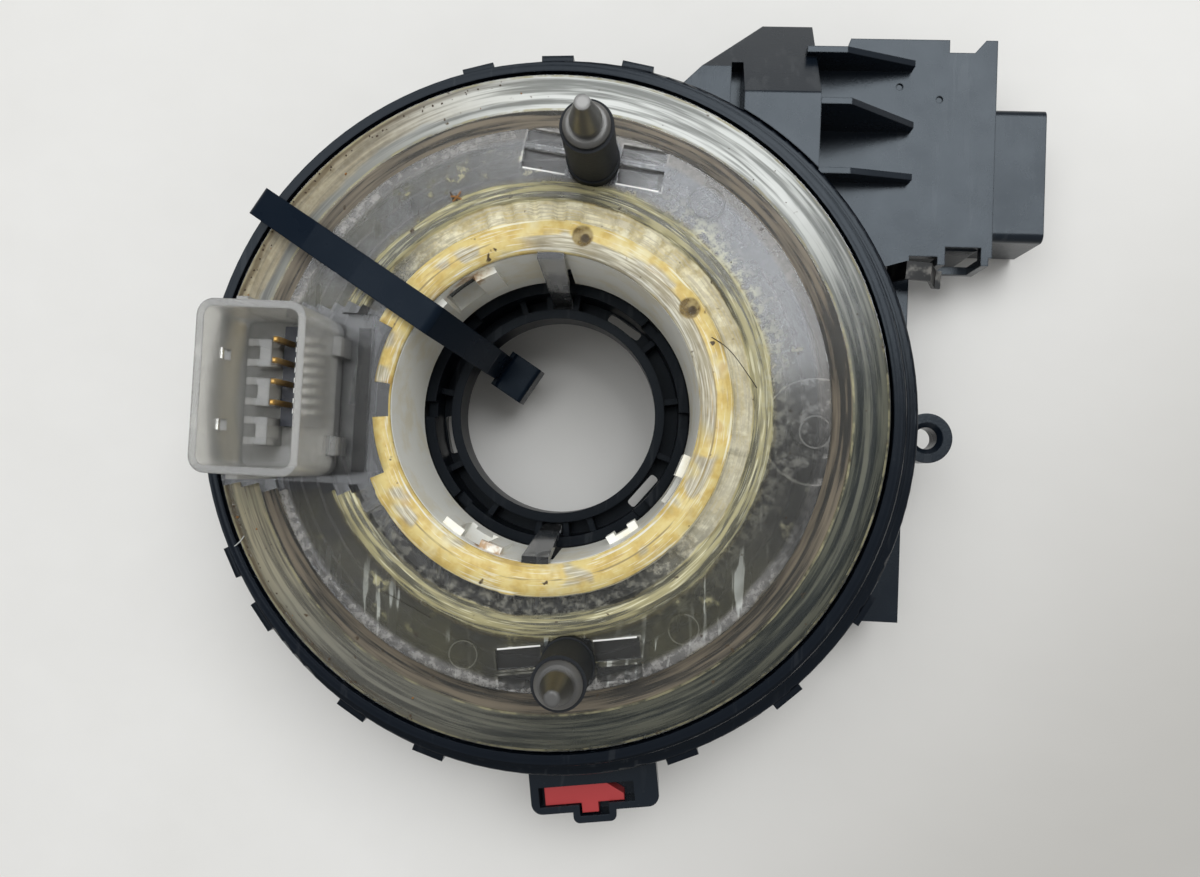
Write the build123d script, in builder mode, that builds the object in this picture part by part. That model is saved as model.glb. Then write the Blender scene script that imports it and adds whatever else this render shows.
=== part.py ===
from build123d import *
import math
import os

# Steering clock spring. Millimetres, +Z towards the steering wheel, origin on the rotation axis
# at the lower face of the driver ring's bore.

# Levels of the fixed side
BASE_Z = -15.0            # lowest faces: tray floor and leg feet
DRUM_Z = -6.4             # underside of the round drum
PLATE_Z = -2.4            # underside of the side plate
PLATE_T = 1.6             # side plate thickness
RIM_Z = 10.0              # top of the outer rim
RIM_T = 1.4               # rim flange thickness
SHELF_Z = 5.6             # underside of the shelf under the tape chamber
SHELF_T = 1.2             # shelf thickness

# Radii of the drum
RIM_R = 50.0              # outer rim
SKIRT_T = 1.8             # drum wall thickness
CHAMBER_R = 42.6          # inside of the tape chamber
CHAMBER_T = 1.4           # chamber wall thickness
CHAMBER_TOP = 17.9        # top of the chamber wall
COLLAR_R = 20.2           # inside of the shelf's collar
COLLAR_T = 1.2            # collar wall thickness
COLLAR_TOP = 10.0         # top of the collar
SEAT_GAP = 0.05           # gap between the rim flange and the parts moulded beside it

# Side plate
PLATE_LEFT = 40.7         # left end of the plate's far edge
PLATE_FAR_IN = 57.5       # far edge beside the sloped block
PLATE_FAR = 58.7          # far edge
PLATE_RIGHT = 62.7        # right edge
PLATE_NEAR = 26.1         # near edge of the wide part
LEDGE_RIGHT = 50.7        # right edge of the narrow part
LEDGE_NEAR = -28.1        # near end of the narrow part
LEDGE_LEFT = 30.0         # left limit of the narrow part, inside the drum wall
STEP_RUN = 0.4            # run of the small step at the far left corner
NOTCH_LEFT = 55.7         # notch in the far edge
NOTCH_RIGHT = 59.4
NOTCH_DEPTH = 1.9
NOTCH_SLOPE = 1.6         # run of the notch's slanted side
SNAP_LEFT = 55.9          # latch notch in the near edge
SNAP_RIGHT = 61.1
SNAP_DEPTH = 1.5
SNAP_T = 1.2              # thickness of the snap loop below the notch
SNAP_WALL = 1.1           # width of the loop's two sides
SNAP_DROP = 6.0           # length of the loop
DIMPLE_R = 0.5            # shallow round marks in the plate
DIMPLE_DEPTH = 0.3
DIMPLE_FAR_X = 48.5
DIMPLE_FAR_Y = 51.5
DIMPLE_NEAR_X = 54.4
DIMPLE_NEAR_Y = 49.7

# Sloped block beside the rim
BLOCK_LEFT = 24.7
BLOCK_RIGHT = 35.3
BLOCK_IN = 30.0           # starts inside the drum wall
BLOCK_RIDGE = 46.1        # far edge of the flat top
BLOCK_FAR = 60.6          # foot of the sloping face
BLOCK_FOOT_Z = -1.2       # level of that foot
BLOCK_WALL = 1.5
BLOCK_ROUND = 0.6         # rounding of the roof's edges
SIDE_CORNER_X = 19.9      # outer corners of the slanted left side
SIDE_CORNER_Y = 52.4
SIDE_FAR_X = 28.0
SIDE_RIM_X = 14.8
SIDE_RIM_Y = 47.4
SIDE_TOP_Z = 6.0          # top of the low left block
GROOVE_W = 1.7            # groove between the two blocks
GROOVE_FLOOR_Z = 2.0
GROOVE_FAR = 52.1

# Gusset ribs on the plate
GUSSET_T = 0.9
GUSSET_FAR_Y = 54.2
GUSSET_MID_Y = 45.0
GUSSET_NEAR_Y = 37.3
GUSSET_FAR_Z = 5.5
GUSSET_MID_Z = 9.9
GUSSET_NEAR_Z = 3.5
GUSSET_FLAT = 4.2         # flat run at the top of each rib
GUSSET_END_X = 50.2
GUSSET_END_H = 2.0        # height of the rib's end above the plate
GUSSET_NEAR_X = 36.6      # start of the near rib

# Screw ear
EAR_X = 53.3
EAR_Y = -1.0
EAR_R = 3.6
EAR_TOP_Z = 2.2
EAR_HOLE_R = 1.6
EAR_CHAMFER = 0.7
EAR_NECK_W = 5.4
EAR_NECK_IN = 46.0

# Lock holder, drawn in a frame turned about the axis
LOCK_TURN = 8.0
HOLDER_HALF = 9.2         # half width along the slide
HOLDER_ROOT = 6.0         # how far the holder reaches in under the rim
HOLDER_WALL = 1.0         # wall outside the pocket
HOLDER_TOP_Z = 4.0
HOLDER_CORNER = 1.6
HOLDER_TAB_LEFT = -3.3
HOLDER_TAB_RIGHT = 2.9
POCKET_LEFT = -8.0
POCKET_RIGHT = 5.7
POCKET_CLEAR = 3.1        # from the rim to the pocket
POCKET_W = 2.8            # width of the pocket
POCKET_FLOOR_Z = 0.8
POCKET_TAB_LEFT = -2.3
POCKET_TAB_RIGHT = 1.9
POCKET_TAB_L = 1.6        # length of the pocket's side notch

# Lock slide
SLIDE_GAP = 0.1
SLIDE_LEFT = -7.2
SLIDE_RIGHT = 1.8
SLIDE_NOSE = 4.2
SLIDE_NOSE_W = 0.9        # width of the slide's nose
SLIDE_TAB_LEFT = -2.0
SLIDE_TAB_RIGHT = 0.4
SLIDE_TOP_Z = 3.5

# Retaining ring: three steps up to the clear rotor
RING_IN = 44.3
RING_TOP_R = 45.5
RING_TOP_Z = 19.7
RING_STEP_A_R = 48.4
RING_STEP_A_Z = 13.6
RING_STEP_B_R = 47.0
RING_STEP_B_Z = 16.9
RING_DRAFT = 0.5          # taper of each step's outer face
RING_LEDGE = 0.4          # width of each ledge
RING_EDGE = 0.5           # rounding of the rim's top edge
HOOK_W = 4.5
HOOK_T = 0.8
HOOK_Z = 3.5
HOOK_WINDOW_W = 2.6
HOOK_WINDOW_H = 2.2
HOOK_ANGLES = [79.0, 92.0, 105.0, 207.0, 217.0, 238.0, 252.0, 293.0, 312.0, 330.0]

# Lower shell
FLOOR_T = 1.4
FLOOR_R_IN = 20.3
SHELL_GAP = 0.1
TRAY_LEFT = 36.5
TRAY_NARROW_RIGHT = 50.6
TRAY_RIGHT = 61.4
TRAY_FAR = 57.3
TRAY_NEAR = 27.4
TRAY_END = -27.9
TRAY_WALL = 1.5
TRAY_CORNER = 0.8
SHROUD_END = 70.5
SHROUD_NEAR = 29.0
SHROUD_FAR = 49.0
SHROUD_Z = -14.6
SHROUD_TOP_Z = -1.9
SHROUD_WALL = 1.3
SHROUD_CORNER = 1.2
SHROUD_CLEAR = 0.2        # gap between the raised shroud top and the plate's edge
LEG_R = 42.0
LEG_T = 1.8
LEG_W = 7.0
LEG_HOOK = 1.2
LEG_HOOK_H = 2.4
LEG_ANGLES = [115.0, 185.0, 240.0]

# Cover screws and their bosses
SCREW_CIRCLE_R = 45.0
SCREW_ANGLES = [96.0, 168.0, 288.0]
BOSS_R = 2.4
SCREW_R = 1.0
SCREW_HEAD_R = 2.0
SCREW_HEAD_H = 1.3
SCREW_END_Z = 3.0
SCREW_RECESS_R = 0.8
SCREW_RECESS_H = 0.7
SCREW_CLEAR = 0.1

# Sensor board and its parts
BOARD_Z = -4.2
BOARD_T = 1.2
BOARD_IN = 23.0
BOARD_OUT = 36.2
BOARD_HALF_ANGLE = 62.0
BOARD_TRAY_LEFT = 39.0
BOARD_TRAY_RIGHT = 58.5
BOARD_TRAY_NEAR = 30.0
BOARD_TRAY_FAR = 54.5
BOARD_BRIDGE_IN = 24.0
BOARD_POST_R = 1.2
BOARD_POST_AT = 34.0
CHIP_TALL = 1.7
CHIP_FLAT = 0.5
CHIP_BIG = 6.0
CHIP_SMALL_W = 2.4
CHIP_SMALL_L = 3.6
CHIP_STEP = 22.0
CHIP_COUNT = 5
FORK_ANGLE = 30.0
FORK_IN = 31.0
FORK_OUT = 36.0
FORK_W = 6.0
FORK_TOP_Z = 4.8
FORK_SLOT_Z = 0.9
FORK_SLOT_H = 2.2
FORK_BACK = 34.2

# System connector terminals
PIN_SQ = 0.64
SYS_PIN_IN = 57.0
SYS_PIN_END = 67.5
SYS_ROW_LOW_Z = -10.6
SYS_ROW_HIGH_Z = -6.4
SYS_PITCH = 2.54
SYS_COLUMNS = 6

# Tape chamber
RIBBON_IN = 28.2
RIBBON_OUT = 38.6
RIBBON_T = 0.3
RIBBON_TURNS = 5
RIBBON_TOP_Z = 16.8
RIBBON_STEP = 9           # degrees between points on the spiral
RIBBON_START = 180.0
OUTER_BLOCK_IN = 39.0
OUTER_BLOCK_OUT = 42.2
OUTER_BLOCK_W = 12.0
OUTER_BLOCK_ANGLE = 35.0

# Ground clip
CLIP_T = 0.5
CLIP_Y = 26.4
CLIP_W = 2.6
CLIP_GAP = 3.14           # from the rim to the clip's first foot
CLIP_FOOT = 2.0
CLIP_SLOPE = 1.8
CLIP_TOP = 3.2
CLIP_TOP_Z = 3.8
CLIP_TURN = -4.0
CLIP_TOE = 1.0

# Cable tie, a closed loop in an upright plane through the bore
TIE_ANGLE = 148.0
TIE_SHIFT = 1.2           # offset of the loop's middle from the axis
TIE_W = 4.0
TIE_T = 1.1
TIE_BORE_R = 12.9
TIE_BORE_Z = 6.0
TIE_HUB_R = 18.2
TIE_HUB_Z = 23.75
TIE_RIDGE_R = 29.0
TIE_SLOPE_R = 37.0
TIE_SLOPE_Z = 22.6
TIE_EDGE_R = 46.0
TIE_EDGE_Z = 20.1
TIE_OUT_R = 50.35
TIE_OUT_Z = 10.4
TIE_LOW_Z = -6.7
TIE_HEAD_D = 4.8
TIE_HEAD_W = 6.0
TIE_HEAD_H = 5.3
TIE_HEAD_Z = -8.5
TIE_HEAD_EDGE = 0.6

# Rotor, turned against the fixed side as it stands
ROTOR_TURN = -0.4
COVER_R = 43.9
COVER_FLANGE_Z = 18.2
COVER_FLANGE_TOP = 19.5
BAND_OUT = 39.1
BAND_IN = 36.2
BAND_Z = 19.7
COVER_T = 1.4
PLATEAU_OUT_Z = 21.3
PLATEAU_Z = 22.0
RIDGE_OUT = 28.4
RIDGE_IN = 26.6
RIDGE_Z = 23.4
RIDGE_FOOT = 0.5
TROUGH_OUT = 25.8
TROUGH_IN = 23.9
TROUGH_Z = 22.3
LIP_OUT = 23.7
LIP_IN = 19.7
LIP_Z = 22.2
TUBE_OUT = 22.9
TUBE_IN = 21.5
TUBE_Z = 7.4
TONGUE_W = 3.4
TONGUE_TIP_W = 2.6
TONGUE_T = 1.0
TONGUE_TOP_R = 19.2
TONGUE_TIP_R = 16.2
TONGUE_TIP_Z = 3.6
PAD_LEFT = -39.8          # flat pad under the connector tower
PAD_RIGHT = -22.0
PAD_HALF = 10.9
PAD_RIB_X = -34.8
LIP_HOLE_R = 1.35
LIP_HOLE_AT = 22.1
LIP_HOLE_DEPTH = 0.8
LIP_HOLE_ANGLES = [36.6, 79.8]
LIP_DOT_R = 0.6           # row of shallow round marks between the two blind holes
LIP_DOT_DEPTH = 0.2
LIP_DOT_COUNT = 6
LIP_DOT_FROM = 53.4
LIP_DOT_STEP = 4.2
LIP_SLOT_L = 7.0
LIP_SLOT_W = 0.9
LIP_SLOT_AT = 21.0
LIP_SLOT_ANGLE = -50.0
EJECTOR_R = 2.0           # shallow ring grooves left by the mould's ejectors
EJECTOR_W = 0.35
EJECTOR_DEPTH = 0.35
EJECTOR_AT = 33.2
EJECTOR_ANGLES = [54.7, -2.0, -54.5, -105.0]
TROUGH_RIB_W = 1.3        # short blocks across the trough
TROUGH_RIB_H = 0.8
TROUGH_RIB_ANGLES = [51.0, 60.0, 69.0, 84.0, 92.0, 99.0, 107.0, 212.0, 262.0, 318.0, 352.0]
POCKET_DEPTH = 0.7
POCKET_T_MID = 6.25
POCKET_T_LEN = 5.9
POCKET_UP_MID = 2.0
POCKET_UP_W = 2.0
POCKET_LOW_MID = -1.0
POCKET_LOW_W = 2.8

# Guide pins and sleeves
GUIDE_X = 4.7
GUIDE_Y = 31.8
GUIDE_SEAT_R = 3.9
GUIDE_SHANK_R = 1.5
GUIDE_FLANGE_R = 2.8
GUIDE_FLANGE_H = 0.5
GUIDE_CHAMFER = 0.5
GUIDE_NECK_R = 1.9
GUIDE_NECK_H = 1.3
GUIDE_TIP_R = 0.9
GUIDE_TIP_Z = 41.5
SLEEVE_R = 3.2
SLEEVE_FOOT_R = 3.4
SLEEVE_FOOT_H = 1.6
SLEEVE_TOP_Z = 34.3

# Connector tower
TOWER_LEFT = -39.2
TOWER_RIGHT = -26.3
TOWER_HALF = 10.1
TOWER_TOP_Z = 35.5
TOWER_WALL = 0.9
TOWER_CORNER = 2.0
TOWER_FLOOR_T = 1.2
TOWER_WINDOW_Y = 4.3      # two latch windows in the outer wall
TOWER_WINDOW_W = 1.3
TOWER_WINDOW_Z = 28.0
TOWER_WINDOW_H = 2.2
TOWER_LUG_W = 2.4         # snap lugs at the tower's foot
TOWER_LUG_T = 1.1
TOWER_LUG_H = 4.2
TOWER_LUG_AT = 6.2
TOWER_RAIL_T = 0.6        # guide rails on the tower's two ends
TOWER_RAIL_W = 1.4
TOWER_RAIL_X = -34.6
TOWER_RAIL_DROP = 1.5
KEY_LEFT = -36.2
KEY_RIGHT = -33.2
KEY_W = 3.4
KEY_TOP_Z = 28.0
KEY_PITCH = 4.8
KEY_SLOT_W = 1.6
CARRIER_LEFT = -33.0
CARRIER_RIGHT = -28.4
CARRIER_NEAR = -4.0
CARRIER_FAR = 8.6
CARRIER_T = 1.4
TOOTH_LEFT = -30.6
TOOTH_TOP_Z = 27.0
TOOTH_W = 0.6
TOOTH_PITCH = 1.27
TOOTH_COUNT = 8
WHEEL_PIN_X = -31.9
WHEEL_PIN_Y = 6.3
WHEEL_PIN_COUNT = 4
WHEEL_PIN_Z = 30.3

# Inner contact block
INNER_LEFT = -24.7
INNER_RIGHT = -23.0
INNER_HALF = 9.3
INNER_Z = 8.0

# White hub
HUB_TOP_IN = 19.6
HUB_LOW_IN = 18.95
HUB_OUT = 21.4
HUB_NECK_OUT = 20.0
HUB_NECK_Z = 10.4
HUB_Z = 7.2
HUB_WINDOW_W = 4.2
HUB_WINDOW_Z = 11.6
HUB_WINDOW_H = 8.6
HUB_WINDOW_ANGLES = [128.4, 243.0, 330.0]
HUB_ARM_W = 2.9           # snap arms standing proud of the sleeve's inside
HUB_ARM_PROUD = 0.5
HUB_ARM_TOP_Z = 21.0
HUB_ARM_Z = 10.8
HUB_ARM_ANGLES = [117.0, 140.2, 235.0, 251.4, 340.0]
HUB_LATCH_W = 4.4         # U-shaped latch
HUB_LATCH_PROUD = 0.9
HUB_LATCH_Z = 12.6
HUB_LATCH_H = 4.4
HUB_LATCH_SLOT = 2.0
HUB_LATCH_ANGLE = 304.0
HUB_ARM_T = 1.0

# Driver ring
BORE_R = 14.05
BORE_L = 5.6
DRIVER_WALL_T = 1.35
DRIVER_FLOOR_T = 1.0
DRIVER_OUT = 18.8
DRIVER_OUT_T = 1.4
DRIVER_TOP_Z = 7.2
DRIVER_LOW_Z = -2.0
DRIVER_SHOULDER_R = 19.8
DRIVER_SHOULDER_T = 1.0
DISC_Z = 1.6
DRIVER_WEB_ANGLES = [9.7, 40.2, 83.4, 97.0, 110.3, 138.8, 170.5, 208.8, 238.0, 263.0, 277.0, 289.9, 341.2]
DRIVER_WEB_T = 0.9
DRIVER_NOTCHES = 8
DRIVER_WEB_TOP = 4.6
DRIVER_NOTCH_W = 2.2
DRIVER_NOTCH_DEPTH = 1.8
DRIVER_WINDOW_W = 5.6
DRIVER_CLEAR_W = 1.3      # width of the floor windows between the two rings
DRIVER_WINDOW_ANGLES = [57.4, 191.8, 321.0]

# Code disc
DISC_T = 0.8
DISC_R = 33.0
DISC_SLOTS = 36
DISC_SLOT_AT = 31.0
DISC_SLOT_L = 2.4
DISC_SLOT_W = 1.6

MARGIN = 2.0              # overrun of cutting bodies past the faces they cut

os.makedirs("parts", exist_ok=True)

skirt_in = RIM_R - SKIRT_T
plate_top = PLATE_Z + PLATE_T
flange_z = RIM_Z - RIM_T
chamber_floor = SHELF_Z + SHELF_T
floor_top = DRUM_Z + FLOOR_T
cover_under = PLATEAU_Z - COVER_T
holder_in = RIM_R - HOLDER_ROOT
pocket_in = RIM_R + POCKET_CLEAR
pocket_out = pocket_in + POCKET_W
holder_out = pocket_out + HOLDER_WALL
pocket_tab_out = pocket_out + POCKET_TAB_L
holder_tab_out = pocket_tab_out + HOLDER_WALL
slide_tab_in = pocket_out - SLIDE_GAP * 2
slide_tab_out = pocket_tab_out - SLIDE_GAP * 3


def around(angle, radius, z):
    """Upright frame at an angle round the axis: local X points outwards, local Z stays up."""
    a = math.radians(angle)
    spot = (radius * math.cos(a), radius * math.sin(a), z)
    return Plane(origin=spot, x_dir=(math.cos(a), math.sin(a), 0), z_dir=(0, 0, 1))


def lock_frame(z):
    """Frame of the lock: local X along its travel, local -Y pointing outwards."""
    a = math.radians(LOCK_TURN)
    return Plane(origin=(0, 0, z), x_dir=(math.cos(a), math.sin(a), 0), z_dir=(0, 0, 1))


def rotor_frame(z):
    """Frame of the rotor as it stands against the fixed side."""
    a = math.radians(ROTOR_TURN)
    return Plane(origin=(0, 0, z), x_dir=(math.cos(a), math.sin(a), 0), z_dir=(0, 0, 1))


def rotor_side():
    """Upright radial plane of the rotor, for turned sections."""
    a = math.radians(ROTOR_TURN)
    return Plane(origin=(0, 0, 0), x_dir=(math.cos(a), math.sin(a), 0), z_dir=(math.sin(a), -math.cos(a), 0))


def span(a, b):
    """Middle of two values."""
    return (a + b) / 2


# ---- Fixed side ---------------------------------------------------------------------------------

roof_fall = (RIM_Z - BLOCK_FOOT_Z) / (BLOCK_FAR - BLOCK_RIDGE)
groove_left = BLOCK_LEFT - GROOVE_W

with BuildPart() as case_body:
    # sloped block, hollow from below
    with BuildSketch(Plane.YZ.offset(BLOCK_LEFT)):
        roof = Polygon((BLOCK_IN, PLATE_Z), (BLOCK_FAR, PLATE_Z), (BLOCK_FAR, BLOCK_FOOT_Z),
                       (BLOCK_RIDGE, RIM_Z), (BLOCK_IN, RIM_Z))
        fillet(roof.vertices().sort_by(Axis.Y)[-3:], radius=BLOCK_ROUND)
    extrude(amount=BLOCK_RIGHT - BLOCK_LEFT)
    # low left part of the block under the same slope, with its slanted side
    with BuildSketch(Plane.XY.offset(PLATE_Z)):
        Polygon((SIDE_RIM_X, SIDE_RIM_Y), (SIDE_CORNER_X, SIDE_CORNER_Y), (SIDE_FAR_X, BLOCK_FAR),
                (BLOCK_LEFT, BLOCK_FAR), (BLOCK_LEFT, BLOCK_IN), (SIDE_RIM_X, BLOCK_IN))
        Polygon((BLOCK_LEFT, BLOCK_FAR), (SIDE_FAR_X, BLOCK_FAR), (BLOCK_LEFT, GROOVE_FAR))
    extrude(amount=SIDE_TOP_Z - PLATE_Z)
    with BuildSketch(Plane.XY.offset(GROOVE_FLOOR_Z)):
        Polygon((groove_left, BLOCK_IN), (BLOCK_LEFT, BLOCK_IN), (BLOCK_LEFT, GROOVE_FAR),
                (groove_left, GROOVE_FAR))
    extrude(amount=RIM_Z, mode=Mode.SUBTRACT)
    with BuildSketch(Plane.YZ.offset(SIDE_RIM_X - MARGIN)):
        Polygon((BLOCK_RIDGE, RIM_Z), (BLOCK_FAR + MARGIN, BLOCK_FOOT_Z - MARGIN * roof_fall),
                (BLOCK_FAR + MARGIN, RIM_Z))
    extrude(amount=BLOCK_RIGHT - SIDE_RIM_X + MARGIN * 2, mode=Mode.SUBTRACT)
    with BuildSketch(Plane.XY.offset(PLATE_Z - MARGIN)):
        Polygon((SIDE_RIM_X - MARGIN, SIDE_RIM_Y), (SIDE_CORNER_X, SIDE_CORNER_Y), (SIDE_FAR_X, BLOCK_FAR),
                (SIDE_FAR_X, BLOCK_FAR + MARGIN), (SIDE_RIM_X - MARGIN, BLOCK_FAR + MARGIN))
    extrude(amount=RIM_Z * 2, mode=Mode.SUBTRACT)
    with BuildSketch(Plane.YZ.offset(BLOCK_LEFT + BLOCK_WALL)):
        Polygon((BLOCK_IN, PLATE_Z - MARGIN), (BLOCK_FAR - BLOCK_WALL * 2, PLATE_Z - MARGIN),
                (BLOCK_FAR - BLOCK_WALL * 2, BLOCK_FOOT_Z),
                (BLOCK_RIDGE - BLOCK_WALL, RIM_Z - BLOCK_WALL), (BLOCK_IN, RIM_Z - BLOCK_WALL))
    extrude(amount=BLOCK_RIGHT - BLOCK_LEFT - BLOCK_WALL * 2, mode=Mode.SUBTRACT)
    # side plate with its notches and marks
    with BuildSketch(Plane.XY.offset(PLATE_Z)):
        Polygon((BLOCK_RIGHT - BLOCK_WALL, PLATE_FAR_IN), (PLATE_LEFT, PLATE_FAR_IN),
                (PLATE_LEFT + STEP_RUN, PLATE_FAR), (PLATE_RIGHT, PLATE_FAR), (PLATE_RIGHT, PLATE_NEAR),
                (LEDGE_RIGHT, PLATE_NEAR), (LEDGE_RIGHT, LEDGE_NEAR), (LEDGE_LEFT, LEDGE_NEAR),
                (LEDGE_LEFT, BLOCK_IN), (BLOCK_RIGHT - BLOCK_WALL, BLOCK_IN))
        Polygon((NOTCH_LEFT, PLATE_FAR + MARGIN), (NOTCH_LEFT, PLATE_FAR - NOTCH_DEPTH),
                (NOTCH_RIGHT, PLATE_FAR - NOTCH_DEPTH), (NOTCH_RIGHT + NOTCH_SLOPE, PLATE_FAR),
                (NOTCH_RIGHT + NOTCH_SLOPE, PLATE_FAR + MARGIN), mode=Mode.SUBTRACT)
        with Locations((span(SNAP_LEFT, SNAP_RIGHT), PLATE_NEAR)):
            Rectangle(SNAP_RIGHT - SNAP_LEFT, SNAP_DEPTH * 2, mode=Mode.SUBTRACT)
    extrude(amount=PLATE_T)
    with BuildSketch(Plane.XY.offset(plate_top)):
        with Locations((DIMPLE_FAR_X, DIMPLE_FAR_Y), (DIMPLE_NEAR_X, DIMPLE_NEAR_Y)):
            Circle(DIMPLE_R)
    extrude(amount=-DIMPLE_DEPTH, mode=Mode.SUBTRACT)
    # snap loop hanging from the plate's near edge
    with BuildSketch(Plane.XZ.offset(-PLATE_NEAR)):
        Polygon((SNAP_LEFT - SNAP_WALL, plate_top), (SNAP_LEFT - SNAP_WALL, PLATE_Z - SNAP_DROP),
                (SNAP_RIGHT + SNAP_WALL, PLATE_Z - SNAP_DROP), (SNAP_RIGHT + SNAP_WALL, plate_top))
        Polygon((SNAP_LEFT, plate_top), (SNAP_LEFT, PLATE_Z - SNAP_DROP + SNAP_WALL),
                (SNAP_RIGHT, PLATE_Z - SNAP_DROP + SNAP_WALL), (SNAP_RIGHT, plate_top), mode=Mode.SUBTRACT)
    extrude(amount=SNAP_T)
    # gusset ribs
    for rib_y, rib_z, rib_x in ((GUSSET_FAR_Y, GUSSET_FAR_Z, BLOCK_RIGHT),
                                (GUSSET_MID_Y, GUSSET_MID_Z, BLOCK_RIGHT),
                                (GUSSET_NEAR_Y, GUSSET_NEAR_Z, GUSSET_NEAR_X)):
        with BuildSketch(Plane.XZ.offset(-rib_y)):
            Polygon((rib_x - BLOCK_WALL, plate_top), (GUSSET_END_X, plate_top),
                    (GUSSET_END_X, plate_top + GUSSET_END_H), (rib_x + GUSSET_FLAT, rib_z),
                    (rib_x - BLOCK_WALL, rib_z))
        extrude(amount=GUSSET_T / 2, both=True)
    # screw ear
    with BuildSketch(Plane.XY.offset(PLATE_Z)):
        with Locations((EAR_X, EAR_Y)):
            Circle(EAR_R)
        with Locations((span(EAR_NECK_IN, EAR_X), EAR_Y)):
            Rectangle(EAR_X - EAR_NECK_IN, EAR_NECK_W)
    extrude(amount=EAR_TOP_Z - PLATE_Z)
    # lock holder with its pocket
    with BuildSketch(lock_frame(PLATE_Z)):
        with Locations((0, -span(holder_in, holder_out))):
            RectangleRounded(HOLDER_HALF * 2, holder_out - holder_in, HOLDER_CORNER)
        with Locations((span(HOLDER_TAB_LEFT, HOLDER_TAB_RIGHT), -span(holder_in, holder_tab_out))):
            RectangleRounded(HOLDER_TAB_RIGHT - HOLDER_TAB_LEFT, holder_tab_out - holder_in, SLIDE_NOSE_W)
    extrude(amount=HOLDER_TOP_Z - PLATE_Z)
    with BuildSketch(lock_frame(POCKET_FLOOR_Z)):
        with Locations((span(POCKET_LEFT, POCKET_RIGHT), -span(pocket_in, pocket_out))):
            Rectangle(POCKET_RIGHT - POCKET_LEFT, pocket_out - pocket_in)
        with Locations((span(POCKET_TAB_LEFT, POCKET_TAB_RIGHT), -span(pocket_in, pocket_tab_out))):
            Rectangle(POCKET_TAB_RIGHT - POCKET_TAB_LEFT, pocket_tab_out - pocket_in)
    extrude(amount=HOLDER_TOP_Z, mode=Mode.SUBTRACT)
    # clear the inside of the drum and the seat of the rim flange
    with BuildSketch(Plane.XY.offset(DRUM_Z - MARGIN)):
        Circle(skirt_in)
    extrude(amount=RIM_Z * 2, mode=Mode.SUBTRACT)
    with BuildSketch(Plane.XY.offset(flange_z)):
        Circle(RIM_R + SEAT_GAP)
    extrude(amount=RIM_Z, mode=Mode.SUBTRACT)
    # drum wall, open where the tray passes through it
    with BuildSketch(Plane.XY.offset(DRUM_Z)):
        Circle(RIM_R)
        Circle(skirt_in, mode=Mode.SUBTRACT)
        with Locations((TRAY_LEFT + RIM_R / 2 - SHELL_GAP, 0)):
            Rectangle(RIM_R, RIM_R * 2 - RIM_Z, mode=Mode.SUBTRACT)
    extrude(amount=PLATE_Z - DRUM_Z)
    with BuildSketch(Plane.XY.offset(PLATE_Z)):
        Circle(RIM_R)
        Circle(skirt_in, mode=Mode.SUBTRACT)
    extrude(amount=flange_z - PLATE_Z)
    # shelf, chamber wall and collar
    with BuildSketch(Plane.XY.offset(SHELF_Z)):
        Circle(skirt_in)
        Circle(COLLAR_R, mode=Mode.SUBTRACT)
    extrude(amount=SHELF_T)
    with BuildSketch(Plane.XY.offset(SHELF_Z)):
        Circle(CHAMBER_R + CHAMBER_T)
        Circle(CHAMBER_R, mode=Mode.SUBTRACT)
    extrude(amount=CHAMBER_TOP - SHELF_Z)
    with BuildSketch(Plane.XY.offset(SHELF_Z)):
        Circle(COLLAR_R + COLLAR_T)
        Circle(COLLAR_R, mode=Mode.SUBTRACT)
    extrude(amount=COLLAR_TOP - SHELF_Z)
    # screw bosses under the shelf
    with BuildSketch(Plane.XY.offset(floor_top)):
        for boss_angle in SCREW_ANGLES:
            with PolarLocations(SCREW_CIRCLE_R, 1, start_angle=boss_angle):
                Circle(BOSS_R)
                Circle(SCREW_R, mode=Mode.SUBTRACT)
    extrude(amount=SHELF_Z - floor_top)
    # screw ear hole and its chamfer
    with Locations((EAR_X, EAR_Y, EAR_TOP_Z)):
        CounterSinkHole(EAR_HOLE_R, EAR_HOLE_R + EAR_CHAMFER, counter_sink_angle=90)
case_body.part.label = "case_body"
export_step(case_body.part, "parts/case_body.step")

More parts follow.
